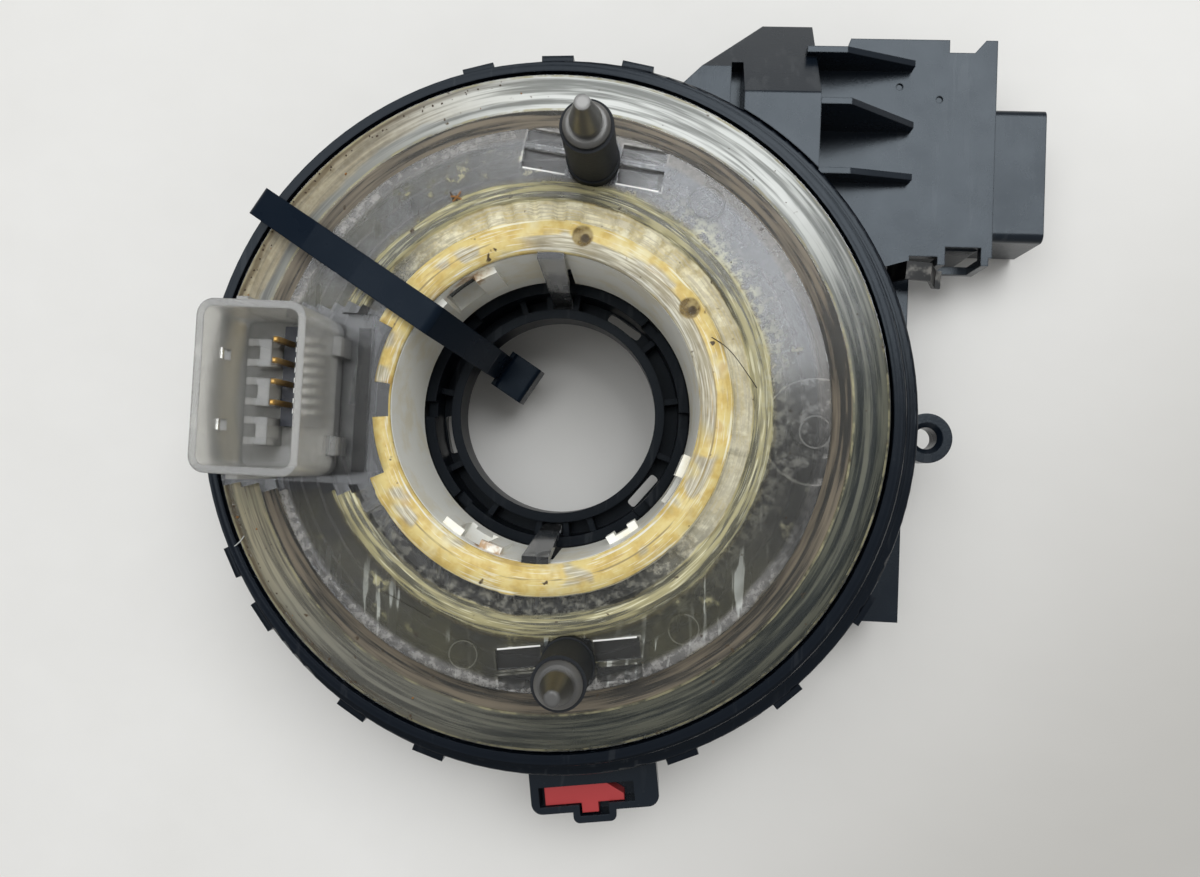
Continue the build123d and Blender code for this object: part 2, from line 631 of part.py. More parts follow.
with BuildPart() as retaining_ring:
    with BuildSketch(Plane.XZ):
        Polygon((RING_IN, flange_z), (RIM_R, flange_z), (RIM_R, RIM_Z), (RING_STEP_A_R, RIM_Z),
                (RING_STEP_A_R - RING_DRAFT, RING_STEP_A_Z),
                (RING_STEP_A_R - RING_DRAFT - RING_LEDGE, RING_STEP_A_Z),
                (RING_STEP_B_R - RING_DRAFT, RING_STEP_B_Z),
                (RING_STEP_B_R - RING_DRAFT - RING_LEDGE, RING_STEP_B_Z),
                (RING_TOP_R, RING_TOP_Z), (RING_IN, RING_TOP_Z))
    revolve(axis=Axis.Z)
    fillet(retaining_ring.edges().filter_by(GeomType.CIRCLE).filter_by_position(
        Axis.Z, RIM_Z - SEAT_GAP, RIM_Z + SEAT_GAP).sort_by(SortBy.RADIUS)[-1:], radius=RING_EDGE)
    for hook_angle in HOOK_ANGLES:
        with BuildSketch(around(hook_angle, RIM_R, HOOK_Z)):
            with Locations((HOOK_T / 2 - RIM_T / 2, 0)):
                Rectangle(HOOK_T + RIM_T, HOOK_W)
        extrude(amount=RIM_Z - RING_EDGE - HOOK_Z)
    with BuildSketch(Plane.XY.offset(HOOK_Z - MARGIN)):
        Circle(RIM_R + SEAT_GAP)
    extrude(amount=flange_z - HOOK_Z + MARGIN, mode=Mode.SUBTRACT)
    for hook_angle in HOOK_ANGLES:
        with BuildSketch(around(hook_angle, RIM_R, HOOK_Z + HOOK_T)):
            with Locations((HOOK_T / 2, 0)):
                Rectangle(HOOK_T * 2, HOOK_WINDOW_W)
        extrude(amount=HOOK_WINDOW_H, mode=Mode.SUBTRACT)
retaining_ring.part.label = "retaining_ring"
export_step(retaining_ring.part, "parts/retaining_ring.step")

with BuildPart() as lower_shell:
    # L-shaped tray for the electronics
    with BuildSketch(Plane.XY.offset(BASE_Z)):
        tray = Polygon((TRAY_LEFT, TRAY_END), (TRAY_NARROW_RIGHT, TRAY_END), (TRAY_NARROW_RIGHT, TRAY_NEAR),
                       (TRAY_RIGHT, TRAY_NEAR), (TRAY_RIGHT, TRAY_FAR), (TRAY_LEFT, TRAY_FAR))
        fillet(tray.vertices(), radius=TRAY_CORNER)
    extrude(amount=PLATE_Z - BASE_Z)
    # connector shroud
    with BuildSketch(Plane.YZ.offset(TRAY_RIGHT - TRAY_WALL)):
        with Locations((span(SHROUD_NEAR, SHROUD_FAR), span(SHROUD_Z, SHROUD_TOP_Z))):
            RectangleRounded(SHROUD_FAR - SHROUD_NEAR, SHROUD_TOP_Z - SHROUD_Z, SHROUD_CORNER)
    extrude(amount=SHROUD_END - TRAY_RIGHT + TRAY_WALL)
    with BuildSketch(Plane.XY.offset(PLATE_Z)):
        with Locations((span(TRAY_LEFT, PLATE_RIGHT + SHROUD_CLEAR), span(SHROUD_NEAR, SHROUD_FAR))):
            Rectangle(PLATE_RIGHT + SHROUD_CLEAR - TRAY_LEFT, SHROUD_FAR - SHROUD_NEAR + MARGIN)
    extrude(amount=MARGIN, mode=Mode.SUBTRACT)
    with BuildSketch(Plane.YZ.offset(TRAY_RIGHT)):
        with Locations((span(SHROUD_NEAR, SHROUD_FAR), span(SHROUD_Z, SHROUD_TOP_Z))):
            Rectangle(SHROUD_FAR - SHROUD_NEAR - SHROUD_WALL * 2, SHROUD_TOP_Z - SHROUD_Z - SHROUD_WALL * 2)
    extrude(amount=SHROUD_END - TRAY_RIGHT + MARGIN, mode=Mode.SUBTRACT)
    # hollow the tray
    with BuildSketch(Plane.XY.offset(BASE_Z + TRAY_WALL)):
        Polygon((TRAY_LEFT + TRAY_WALL, TRAY_END + TRAY_WALL),
                (TRAY_NARROW_RIGHT - TRAY_WALL, TRAY_END + TRAY_WALL),
                (TRAY_NARROW_RIGHT - TRAY_WALL, TRAY_NEAR + TRAY_WALL),
                (TRAY_RIGHT - TRAY_WALL, TRAY_NEAR + TRAY_WALL),
                (TRAY_RIGHT - TRAY_WALL, TRAY_FAR - TRAY_WALL),
                (TRAY_LEFT + TRAY_WALL, TRAY_FAR - TRAY_WALL))
    extrude(amount=PLATE_Z - BASE_Z, mode=Mode.SUBTRACT)
    # the tray's near-axis wall stops at the drum floor
    with BuildSketch(Plane.XY.offset(floor_top)):
        Circle(skirt_in - SHELL_GAP)
    extrude(amount=PLATE_Z - floor_top, mode=Mode.SUBTRACT)
    # round floor
    with BuildSketch(Plane.XY.offset(DRUM_Z)):
        Circle(skirt_in - SHELL_GAP)
        Circle(FLOOR_R_IN, mode=Mode.SUBTRACT)
        with Locations((TRAY_LEFT + TRAY_WALL + RIM_R / 2, 0)):
            Rectangle(RIM_R, RIM_R * 2, mode=Mode.SUBTRACT)
    extrude(amount=FLOOR_T)
    # board posts
    with BuildSketch(Plane.XY.offset(floor_top)):
        with PolarLocations(BOARD_POST_AT, 3, start_angle=-BOARD_HALF_ANGLE * 0.75,
                            angular_range=BOARD_HALF_ANGLE * 1.5, endpoint=True):
            Circle(BOARD_POST_R)
    extrude(amount=BOARD_Z - floor_top)
    # snap legs
    for leg_angle in LEG_ANGLES:
        with BuildSketch(around(leg_angle, LEG_R, BASE_Z)):
            Rectangle(LEG_T, LEG_W)
        extrude(amount=floor_top - BASE_Z)
        with BuildSketch(around(leg_angle, LEG_R, BASE_Z)):
            with Locations((LEG_HOOK / 2, 0)):
                Rectangle(LEG_T + LEG_HOOK, LEG_W)
        extrude(amount=LEG_HOOK_H)
    # screw holes
    with BuildSketch(Plane.XY.offset(DRUM_Z)):
        for hole_angle in SCREW_ANGLES:
            with PolarLocations(SCREW_CIRCLE_R, 1, start_angle=hole_angle):
                Circle(SCREW_R + SCREW_CLEAR)
    extrude(amount=FLOOR_T, mode=Mode.SUBTRACT)
    # terminal holes through the connector's back wall
    with BuildSketch(Plane.YZ.offset(TRAY_RIGHT - TRAY_WALL)):
        with Locations((span(SHROUD_NEAR, SHROUD_FAR), span(SYS_ROW_LOW_Z, SYS_ROW_HIGH_Z))):
            with GridLocations(SYS_PITCH, SYS_ROW_HIGH_Z - SYS_ROW_LOW_Z, SYS_COLUMNS, 2):
                Rectangle(PIN_SQ, PIN_SQ)
    extrude(amount=TRAY_WALL, mode=Mode.SUBTRACT)
lower_shell.part.label = "lower_shell"
export_step(lower_shell.part, "parts/lower_shell.step")

with BuildPart() as sensor_board:
    with BuildSketch(Plane.XY.offset(BOARD_Z)):
        with BuildLine():
            arc_out = CenterArc((0, 0), BOARD_OUT, -BOARD_HALF_ANGLE, BOARD_HALF_ANGLE * 2)
            arc_in = CenterArc((0, 0), BOARD_IN, -BOARD_HALF_ANGLE, BOARD_HALF_ANGLE * 2)
            Line(arc_out @ 0, arc_in @ 0)
            Line(arc_out @ 1, arc_in @ 1)
        make_face()
        Polygon((BOARD_TRAY_LEFT, BOARD_TRAY_NEAR), (BOARD_TRAY_RIGHT, BOARD_TRAY_NEAR),
                (BOARD_TRAY_RIGHT, BOARD_TRAY_FAR), (BOARD_TRAY_LEFT, BOARD_TRAY_FAR))
        Polygon((BOARD_BRIDGE_IN, 0), (BOARD_TRAY_LEFT + MARGIN, 0),
                (BOARD_TRAY_LEFT + MARGIN, BOARD_TRAY_NEAR),
                (BOARD_TRAY_LEFT + MARGIN, BOARD_TRAY_FAR - CHIP_BIG), (BOARD_TRAY_LEFT, BOARD_TRAY_NEAR))
    extrude(amount=BOARD_T)
sensor_board.part.label = "sensor_board"
export_step(sensor_board.part, "parts/sensor_board.step")

board_top = BOARD_Z + BOARD_T
chip_circle_r = span(BOARD_IN, FORK_IN)

with BuildPart() as board_chips:
    with BuildSketch(Plane.XY.offset(board_top)):
        with PolarLocations(chip_circle_r, CHIP_COUNT, start_angle=-BOARD_HALF_ANGLE + CHIP_STEP / 2,
                            angular_range=CHIP_STEP * CHIP_COUNT - CHIP_STEP, endpoint=True):
            Rectangle(CHIP_SMALL_W, CHIP_SMALL_L)
    extrude(amount=CHIP_TALL)
    with BuildSketch(Plane.XY.offset(board_top)):
        with Locations((span(BOARD_TRAY_LEFT, BOARD_TRAY_RIGHT), span(BOARD_TRAY_NEAR, BOARD_TRAY_FAR))):
            with GridLocations(CHIP_BIG * 1.5, CHIP_BIG * 1.5, 2, 2):
                Rectangle(CHIP_BIG, CHIP_BIG)
    extrude(amount=CHIP_FLAT)
board_chips.part.label = "board_chips"
export_step(board_chips.part, "parts/board_chips.step")

with BuildPart() as light_barrier:
    with BuildSketch(around(FORK_ANGLE, span(FORK_IN, FORK_OUT), board_top)):
        Rectangle(FORK_OUT - FORK_IN, FORK_W)
    extrude(amount=FORK_TOP_Z - board_top)
    with BuildSketch(around(FORK_ANGLE, span(FORK_IN - MARGIN, FORK_BACK), FORK_SLOT_Z)):
        Rectangle(FORK_BACK - FORK_IN + MARGIN, FORK_W + MARGIN)
    extrude(amount=FORK_SLOT_H, mode=Mode.SUBTRACT)
light_barrier.part.label = "light_barrier"
export_step(light_barrier.part, "parts/light_barrier.step")

with BuildPart() as system_terminals:
    with BuildSketch(Plane.YZ.offset(SYS_PIN_IN)):
        with Locations((span(SHROUD_NEAR, SHROUD_FAR), span(SYS_ROW_LOW_Z, SYS_ROW_HIGH_Z))):
            with GridLocations(SYS_PITCH, SYS_ROW_HIGH_Z - SYS_ROW_LOW_Z, SYS_COLUMNS, 2):
                Rectangle(PIN_SQ, PIN_SQ)
    extrude(amount=SYS_PIN_END - SYS_PIN_IN)
    chamfer(system_terminals.edges().filter_by(Axis.X, reverse=True).group_by(Axis.X)[-1],
            length=PIN_SQ / 4)
system_terminals.part.label = "system_terminals"
export_step(system_terminals.part, "parts/system_terminals.step")

with BuildPart() as outer_contact_block:
    with BuildSketch(around(OUTER_BLOCK_ANGLE, span(OUTER_BLOCK_IN, OUTER_BLOCK_OUT), chamber_floor)):
        Rectangle(OUTER_BLOCK_OUT - OUTER_BLOCK_IN, OUTER_BLOCK_W)
    extrude(amount=RIBBON_TOP_Z - chamber_floor)
    with BuildSketch(Plane.XY.offset(chamber_floor)):
        Circle(CHAMBER_R)
    extrude(amount=RIBBON_TOP_Z, mode=Mode.INTERSECT)
outer_contact_block.part.label = "outer_contact_block"
export_step(outer_contact_block.part, "parts/outer_contact_block.step")

ribbon_count = int(RIBBON_TURNS * 360 / RIBBON_STEP)
ribbon_growth = (RIBBON_OUT - RIBBON_IN) / ribbon_count
ribbon_outside = []
ribbon_inside = []
for ribbon_i in range(ribbon_count + 1):
    ribbon_a = math.radians(RIBBON_START + ribbon_i * RIBBON_STEP)
    ribbon_r = RIBBON_IN + ribbon_growth * ribbon_i
    ribbon_outside.append((ribbon_r * math.cos(ribbon_a), ribbon_r * math.sin(ribbon_a)))
    ribbon_r = ribbon_r - RIBBON_T
    ribbon_inside.append((ribbon_r * math.cos(ribbon_a), ribbon_r * math.sin(ribbon_a)))

with BuildPart() as ribbon_cable:
    with BuildSketch(Plane.XY.offset(chamber_floor)):
        Polygon(*(ribbon_outside + ribbon_inside[::-1]))
    extrude(amount=RIBBON_TOP_Z - chamber_floor)
ribbon_cable.part.label = "ribbon_cable"
export_step(ribbon_cable.part, "parts/ribbon_cable.step")

clip_turn = math.radians(CLIP_TURN)
clip_left = math.sqrt(RIM_R ** 2 - CLIP_Y ** 2) + CLIP_GAP
clip_rise = clip_left + CLIP_FOOT
clip_fall = clip_rise + CLIP_SLOPE + CLIP_TOP
clip_frame = Plane(origin=(0, CLIP_Y, 0), x_dir=(math.cos(clip_turn), math.sin(clip_turn), 0),
                   z_dir=(math.sin(clip_turn), -math.cos(clip_turn), 0))

with BuildPart() as ground_clip:
    with BuildSketch(clip_frame):
        with BuildLine():
            Polyline((clip_left, plate_top + CLIP_T / 2), (clip_rise, plate_top + CLIP_T / 2),
                     (clip_rise + CLIP_SLOPE, CLIP_TOP_Z), (clip_fall, CLIP_TOP_Z),
                     (clip_fall + CLIP_SLOPE, plate_top + CLIP_T / 2),
                     (clip_fall + CLIP_SLOPE + CLIP_TOE, plate_top + CLIP_T / 2))
        trace(line_width=CLIP_T)
    extrude(amount=CLIP_W / 2, both=True)
ground_clip.part.label = "ground_clip"
export_step(ground_clip.part, "parts/ground_clip.step")

with BuildPart() as cover_screws:
    for screw_angle in SCREW_ANGLES:
        with BuildSketch(around(screw_angle, SCREW_CIRCLE_R, DRUM_Z)):
            Circle(SCREW_R)
        extrude(amount=SCREW_END_Z - DRUM_Z)
        with BuildSketch(around(screw_angle, SCREW_CIRCLE_R, DRUM_Z)):
            Circle(SCREW_HEAD_R)
        extrude(amount=-SCREW_HEAD_H)
        with BuildSketch(around(screw_angle, SCREW_CIRCLE_R, DRUM_Z - SCREW_HEAD_H)):
            RegularPolygon(SCREW_RECESS_R, 6)
        extrude(amount=SCREW_RECESS_H, mode=Mode.SUBTRACT)
cover_screws.part.label = "cover_screws"
export_step(cover_screws.part, "parts/cover_screws.step")

tie_a = math.radians(TIE_ANGLE)
tie_out = (math.cos(tie_a), math.sin(tie_a), 0)
tie_side = (math.sin(tie_a), -math.cos(tie_a), 0)
tie_spot = (tie_side[0] * TIE_SHIFT, tie_side[1] * TIE_SHIFT, 0)
tie_plane = Plane(origin=tie_spot, x_dir=tie_out, z_dir=tie_side)
tie_head_r = TIE_BORE_R - TIE_T - TIE_HEAD_D / 2

with BuildPart() as cable_tie:
    with BuildSketch(tie_plane):
        with BuildLine():
            Polyline((TIE_BORE_R, TIE_LOW_Z), (TIE_OUT_R, TIE_LOW_Z), (TIE_OUT_R, TIE_OUT_Z),
                     (TIE_EDGE_R, TIE_EDGE_Z), (TIE_SLOPE_R, TIE_SLOPE_Z), (TIE_RIDGE_R, TIE_HUB_Z),
                     (TIE_HUB_R, TIE_HUB_Z), (TIE_BORE_R, TIE_BORE_Z), close=True)
        make_face()
        offset(amount=TIE_T, kind=Kind.ARC)
        with BuildLine():
            Polyline((TIE_BORE_R, TIE_LOW_Z), (TIE_OUT_R, TIE_LOW_Z), (TIE_OUT_R, TIE_OUT_Z),
                     (TIE_EDGE_R, TIE_EDGE_Z), (TIE_SLOPE_R, TIE_SLOPE_Z), (TIE_RIDGE_R, TIE_HUB_Z),
                     (TIE_HUB_R, TIE_HUB_Z), (TIE_BORE_R, TIE_BORE_Z), close=True)
        make_face(mode=Mode.SUBTRACT)
    extrude(amount=TIE_W / 2, both=True)
    with BuildSketch(tie_plane):
        with Locations((tie_head_r, TIE_HEAD_Z + TIE_HEAD_H / 2)):
            RectangleRounded(TIE_HEAD_D, TIE_HEAD_H, TIE_HEAD_EDGE)
        with Locations((TIE_BORE_R - TIE_T, span(TIE_LOW_Z, TIE_HEAD_Z + TIE_HEAD_H))):
            Rectangle(TIE_T, TIE_HEAD_Z + TIE_HEAD_H - TIE_LOW_Z - TIE_HEAD_EDGE)
    extrude(amount=TIE_HEAD_W / 2, both=True)
cable_tie.part.label = "cable_tie"
export_step(cable_tie.part, "parts/cable_tie.step")

with BuildPart() as lock_slide:
    with BuildSketch(lock_frame(POCKET_FLOOR_Z + SLIDE_GAP)):
        Polygon((SLIDE_LEFT, -pocket_in - SLIDE_GAP), (SLIDE_RIGHT, -pocket_in - SLIDE_GAP),
                (SLIDE_NOSE, -pocket_out + SLIDE_GAP + SLIDE_NOSE_W), (SLIDE_NOSE, -pocket_out + SLIDE_GAP),
                (SLIDE_LEFT, -pocket_out + SLIDE_GAP))
        with Locations((span(SLIDE_TAB_LEFT, SLIDE_TAB_RIGHT), -span(slide_tab_in, slide_tab_out))):
            Rectangle(SLIDE_TAB_RIGHT - SLIDE_TAB_LEFT, slide_tab_out - slide_tab_in)
    extrude(amount=SLIDE_TOP_Z - POCKET_FLOOR_Z - SLIDE_GAP)
lock_slide.part.label = "lock_slide"
export_step(lock_slide.part, "parts/lock_slide.step")

# ---- Turning side -------------------------------------------------------------------------------

mark_floor = span(PLATEAU_Z, PLATEAU_OUT_Z) - EJECTOR_DEPTH

with BuildPart() as rotor_cover:
    with BuildSketch(rotor_side()):
        Polygon((LIP_IN, LIP_Z), (LIP_IN, RIDGE_Z), (LIP_OUT, RIDGE_Z), (TROUGH_IN, TROUGH_Z),
                (TROUGH_OUT, TROUGH_Z), (RIDGE_IN, RIDGE_Z), (RIDGE_OUT, RIDGE_Z),
                (RIDGE_OUT + RIDGE_FOOT, PLATEAU_Z), (BAND_IN, PLATEAU_OUT_Z), (BAND_IN, BAND_Z),
                (BAND_OUT, BAND_Z), (BAND_OUT, COVER_FLANGE_TOP), (COVER_R, COVER_FLANGE_TOP),
                (COVER_R, COVER_FLANGE_Z), (BAND_IN - COVER_T, COVER_FLANGE_Z),
                (BAND_IN - COVER_T, PLATEAU_OUT_Z - COVER_T), (RIDGE_OUT, cover_under),
                (TUBE_OUT, cover_under), (TUBE_OUT, TUBE_Z), (TUBE_IN, TUBE_Z), (TUBE_IN, LIP_Z))
    revolve(axis=Axis.Z)
    # flat pad under the tower
    with BuildSketch(rotor_frame(PLATEAU_Z)):
        with Locations((span(PAD_LEFT, PAD_RIGHT), 0)):
            Rectangle(PAD_RIGHT - PAD_LEFT, PAD_HALF * 2)
    extrude(amount=MARGIN, mode=Mode.SUBTRACT)
    with BuildSketch(rotor_frame(cover_under)):
        with Locations((span(PAD_LEFT, PAD_RIGHT), 0)):
            Rectangle(PAD_RIGHT - PAD_LEFT, PAD_HALF * 2)
    extrude(amount=COVER_T)
    with BuildSketch(rotor_frame(COVER_FLANGE_Z)):
        with Locations((span(PAD_LEFT, PAD_RIB_X), 0)):
            Rectangle(PAD_RIB_X - PAD_LEFT, PAD_HALF * 2)
    extrude(amount=PLATEAU_Z - COVER_FLANGE_Z)
    # seats of the guide pins
    with BuildSketch(rotor_frame(cover_under)):
        with Locations((GUIDE_X, GUIDE_Y), (GUIDE_X, -GUIDE_Y)):
            Circle(GUIDE_SEAT_R)
    extrude(amount=COVER_T)
    # shallow pockets beside each guide pin
    for pin_side in (1, -1):
        pin_angle = math.degrees(math.atan2(pin_side * GUIDE_Y, GUIDE_X)) + ROTOR_TURN
        pocket_r = math.hypot(GUIDE_X, GUIDE_Y)
        with BuildSketch(around(pin_angle, pocket_r, PLATEAU_OUT_Z + SEAT_GAP)):
            with Locations((POCKET_UP_MID, POCKET_T_MID), (POCKET_UP_MID, -POCKET_T_MID)):
                Rectangle(POCKET_UP_W, POCKET_T_LEN)
            with Locations((POCKET_LOW_MID, POCKET_T_MID), (POCKET_LOW_MID, -POCKET_T_MID)):
                Rectangle(POCKET_LOW_W, POCKET_T_LEN)
        extrude(amount=-POCKET_DEPTH, mode=Mode.SUBTRACT)
        with BuildSketch(around(pin_angle, pocket_r, PLATEAU_OUT_Z)):
            with Locations((POCKET_UP_MID, POCKET_T_MID), (POCKET_UP_MID, -POCKET_T_MID)):
                Rectangle(POCKET_UP_W, POCKET_T_LEN)
            with Locations((POCKET_LOW_MID, POCKET_T_MID), (POCKET_LOW_MID, -POCKET_T_MID)):
                Rectangle(POCKET_LOW_W, POCKET_T_LEN)
        extrude(amount=MARGIN, mode=Mode.SUBTRACT)
    # pin holes
    with BuildSketch(rotor_frame(cover_under)):
        with Locations((GUIDE_X, GUIDE_Y), (GUIDE_X, -GUIDE_Y)):
            Circle(GUIDE_SHANK_R)
    extrude(amount=COVER_T, mode=Mode.SUBTRACT)
    # blind holes and slot in the lip
    for lip_angle in LIP_HOLE_ANGLES:
        with BuildSketch(around(lip_angle + ROTOR_TURN, LIP_HOLE_AT, RIDGE_Z)):
            Circle(LIP_HOLE_R)
        extrude(amount=-LIP_HOLE_DEPTH, mode=Mode.SUBTRACT)
    with BuildSketch(rotor_frame(RIDGE_Z)):
        with PolarLocations(LIP_HOLE_AT, LIP_DOT_COUNT, start_angle=LIP_DOT_FROM,
                            angular_range=LIP_DOT_STEP * (LIP_DOT_COUNT - 1), endpoint=True):
            Circle(LIP_DOT_R)
    extrude(amount=-LIP_DOT_DEPTH, mode=Mode.SUBTRACT)
    # ejector marks on the plateau and blocks across the trough
    for mark_angle in EJECTOR_ANGLES:
        with BuildSketch(around(mark_angle + ROTOR_TURN, EJECTOR_AT, mark_floor)):
            Circle(EJECTOR_R + EJECTOR_W)
            Circle(EJECTOR_R, mode=Mode.SUBTRACT)
        extrude(amount=MARGIN, mode=Mode.SUBTRACT)
    for block_angle in TROUGH_RIB_ANGLES:
        with BuildSketch(around(block_angle + ROTOR_TURN, span(TROUGH_IN, TROUGH_OUT), TROUGH_Z)):
            Rectangle(TROUGH_OUT - TROUGH_IN + TROUGH_RIB_H, TROUGH_RIB_W)
        extrude(amount=TROUGH_RIB_H)
    with BuildSketch(around(LIP_SLOT_ANGLE + ROTOR_TURN, LIP_SLOT_AT, RIDGE_Z)):
        Rectangle(LIP_SLOT_W, LIP_SLOT_L)
    extrude(amount=-LIP_HOLE_DEPTH, mode=Mode.SUBTRACT)
    # two tongues down into the driver ring
    for tongue_angle in (90, 270):
        with BuildSketch(around(tongue_angle + ROTOR_TURN, TONGUE_TOP_R, RIDGE_Z)):
            Rectangle(TONGUE_T, TONGUE_W)
        with BuildSketch(around(tongue_angle + ROTOR_TURN, TONGUE_TIP_R, TONGUE_TIP_Z)):
            Rectangle(TONGUE_T, TONGUE_TIP_W)
        loft()
        with BuildSketch(around(tongue_angle + ROTOR_TURN, span(TONGUE_TOP_R, LIP_OUT), LIP_Z)):
            Rectangle(LIP_OUT - TONGUE_TOP_R - MARGIN, TONGUE_W)
        extrude(amount=RIDGE_Z - LIP_Z)
rotor_cover.part.label = "rotor_cover"
export_step(rotor_cover.part, "parts/rotor_cover.step")

with BuildPart() as rotor_hub:
    with BuildSketch(rotor_side()):
        Polygon((HUB_LOW_IN, HUB_Z), (HUB_NECK_OUT, HUB_Z), (HUB_NECK_OUT, HUB_NECK_Z),
                (HUB_OUT, HUB_NECK_Z), (HUB_OUT, LIP_Z), (HUB_TOP_IN, LIP_Z))
    revolve(axis=Axis.Z)
    # snap arms and the U-shaped latch, proud of the inside
    for arm_angle in HUB_ARM_ANGLES:
        with BuildSketch(around(arm_angle + ROTOR_TURN, HUB_TOP_IN, HUB_ARM_Z)):
            Rectangle(HUB_ARM_T + HUB_ARM_PROUD * 2, HUB_ARM_W)
        extrude(amount=HUB_ARM_TOP_Z - HUB_ARM_Z)
    with BuildSketch(around(HUB_LATCH_ANGLE + ROTOR_TURN, HUB_TOP_IN - HUB_LATCH_PROUD / 2, HUB_LATCH_Z)):
        Rectangle(HUB_ARM_T + HUB_LATCH_PROUD, HUB_LATCH_W)
        with Locations((-HUB_LATCH_PROUD, 0)):
            Rectangle(HUB_LATCH_PROUD, HUB_LATCH_SLOT, mode=Mode.SUBTRACT)
    extrude(amount=HUB_LATCH_H)
    for window_angle in HUB_WINDOW_ANGLES:
        with BuildSketch(around(window_angle + ROTOR_TURN, HUB_TOP_IN, HUB_WINDOW_Z)):
            Rectangle(MARGIN * 3, HUB_WINDOW_W)
        extrude(amount=HUB_WINDOW_H, mode=Mode.SUBTRACT)
    for tongue_angle in (90, 270):
        with BuildSketch(around(tongue_angle + ROTOR_TURN, TONGUE_TOP_R, HUB_Z)):
            Rectangle(TONGUE_T + HUB_ARM_T, TONGUE_W + SLIDE_GAP * 2)
        extrude(amount=LIP_Z - HUB_Z, mode=Mode.SUBTRACT)
rotor_hub.part.label = "rotor_hub"
export_step(rotor_hub.part, "parts/rotor_hub.step")

driver_in_wall = BORE_R + DRIVER_WALL_T
driver_channel = DRIVER_OUT - DRIVER_OUT_T
web_mid = span(driver_in_wall, driver_channel)

with BuildPart() as driver_ring:
    with BuildSketch(Plane.XY):
        Circle(driver_in_wall)
        Circle(BORE_R, mode=Mode.SUBTRACT)
    extrude(amount=BORE_L)
    with BuildSketch(Plane.XY):
        Circle(driver_channel)
        Circle(driver_in_wall, mode=Mode.SUBTRACT)
        for window_angle in DRIVER_WINDOW_ANGLES:
            with PolarLocations(web_mid, 1, start_angle=window_angle + ROTOR_TURN):
                RectangleRounded(DRIVER_CLEAR_W, DRIVER_WINDOW_W, DRIVER_CLEAR_W / 3, mode=Mode.SUBTRACT)
    extrude(amount=DRIVER_FLOOR_T)
    with BuildSketch(Plane.XY.offset(DRIVER_LOW_Z)):
        Circle(DRIVER_OUT)
        Circle(driver_channel, mode=Mode.SUBTRACT)
    extrude(amount=DRIVER_TOP_Z - DRIVER_LOW_Z)
    with BuildSketch(Plane.XY):
        for web_angle in DRIVER_WEB_ANGLES:
            with PolarLocations(web_mid, 1, start_angle=web_angle + ROTOR_TURN):
                Rectangle(driver_channel - driver_in_wall + DRIVER_WALL_T / 2, DRIVER_WEB_T)
    extrude(amount=DRIVER_WEB_TOP)
    with BuildSketch(Plane.XY.offset(DRIVER_TOP_Z - DRIVER_NOTCH_DEPTH)):
        with PolarLocations(span(driver_channel, DRIVER_OUT), DRIVER_NOTCHES, start_angle=ROTOR_TURN):
            Rectangle(DRIVER_OUT_T * 2, DRIVER_NOTCH_W)
    extrude(amount=DRIVER_NOTCH_DEPTH, mode=Mode.SUBTRACT)
    with BuildSketch(Plane.XY.offset(DISC_Z - DRIVER_SHOULDER_T)):
        Circle(DRIVER_SHOULDER_R)
        Circle(span(driver_channel, DRIVER_OUT), mode=Mode.SUBTRACT)
    extrude(amount=DRIVER_SHOULDER_T)
driver_ring.part.label = "driver_ring"
export_step(driver_ring.part, "parts/driver_ring.step")

with BuildPart() as code_disc:
    with BuildSketch(Plane.XY.offset(DISC_Z)):
        Circle(DISC_R)
        Circle(DRIVER_OUT, mode=Mode.SUBTRACT)
        with PolarLocations(DISC_SLOT_AT, DISC_SLOTS):
            Rectangle(DISC_SLOT_L, DISC_SLOT_W, mode=Mode.SUBTRACT)
    extrude(amount=DISC_T)
code_disc.part.label = "code_disc"
export_step(code_disc.part, "parts/code_disc.step")

with BuildPart() as inner_contact_block:
    with BuildSketch(rotor_frame(INNER_Z)):
        with Locations((span(INNER_LEFT, INNER_RIGHT), 0)):
            Rectangle(INNER_RIGHT - INNER_LEFT, INNER_HALF * 2)
    extrude(amount=cover_under - INNER_Z)
inner_contact_block.part.label = "inner_contact_block"
export_step(inner_contact_block.part, "parts/inner_contact_block.step")

pin_ys = [WHEEL_PIN_Y - SYS_PITCH * pin_i for pin_i in range(WHEEL_PIN_COUNT)]
pin_spots = [(WHEEL_PIN_X, pin_y) for pin_y in pin_ys]
tower_floor = PLATEAU_Z + TOWER_FLOOR_T

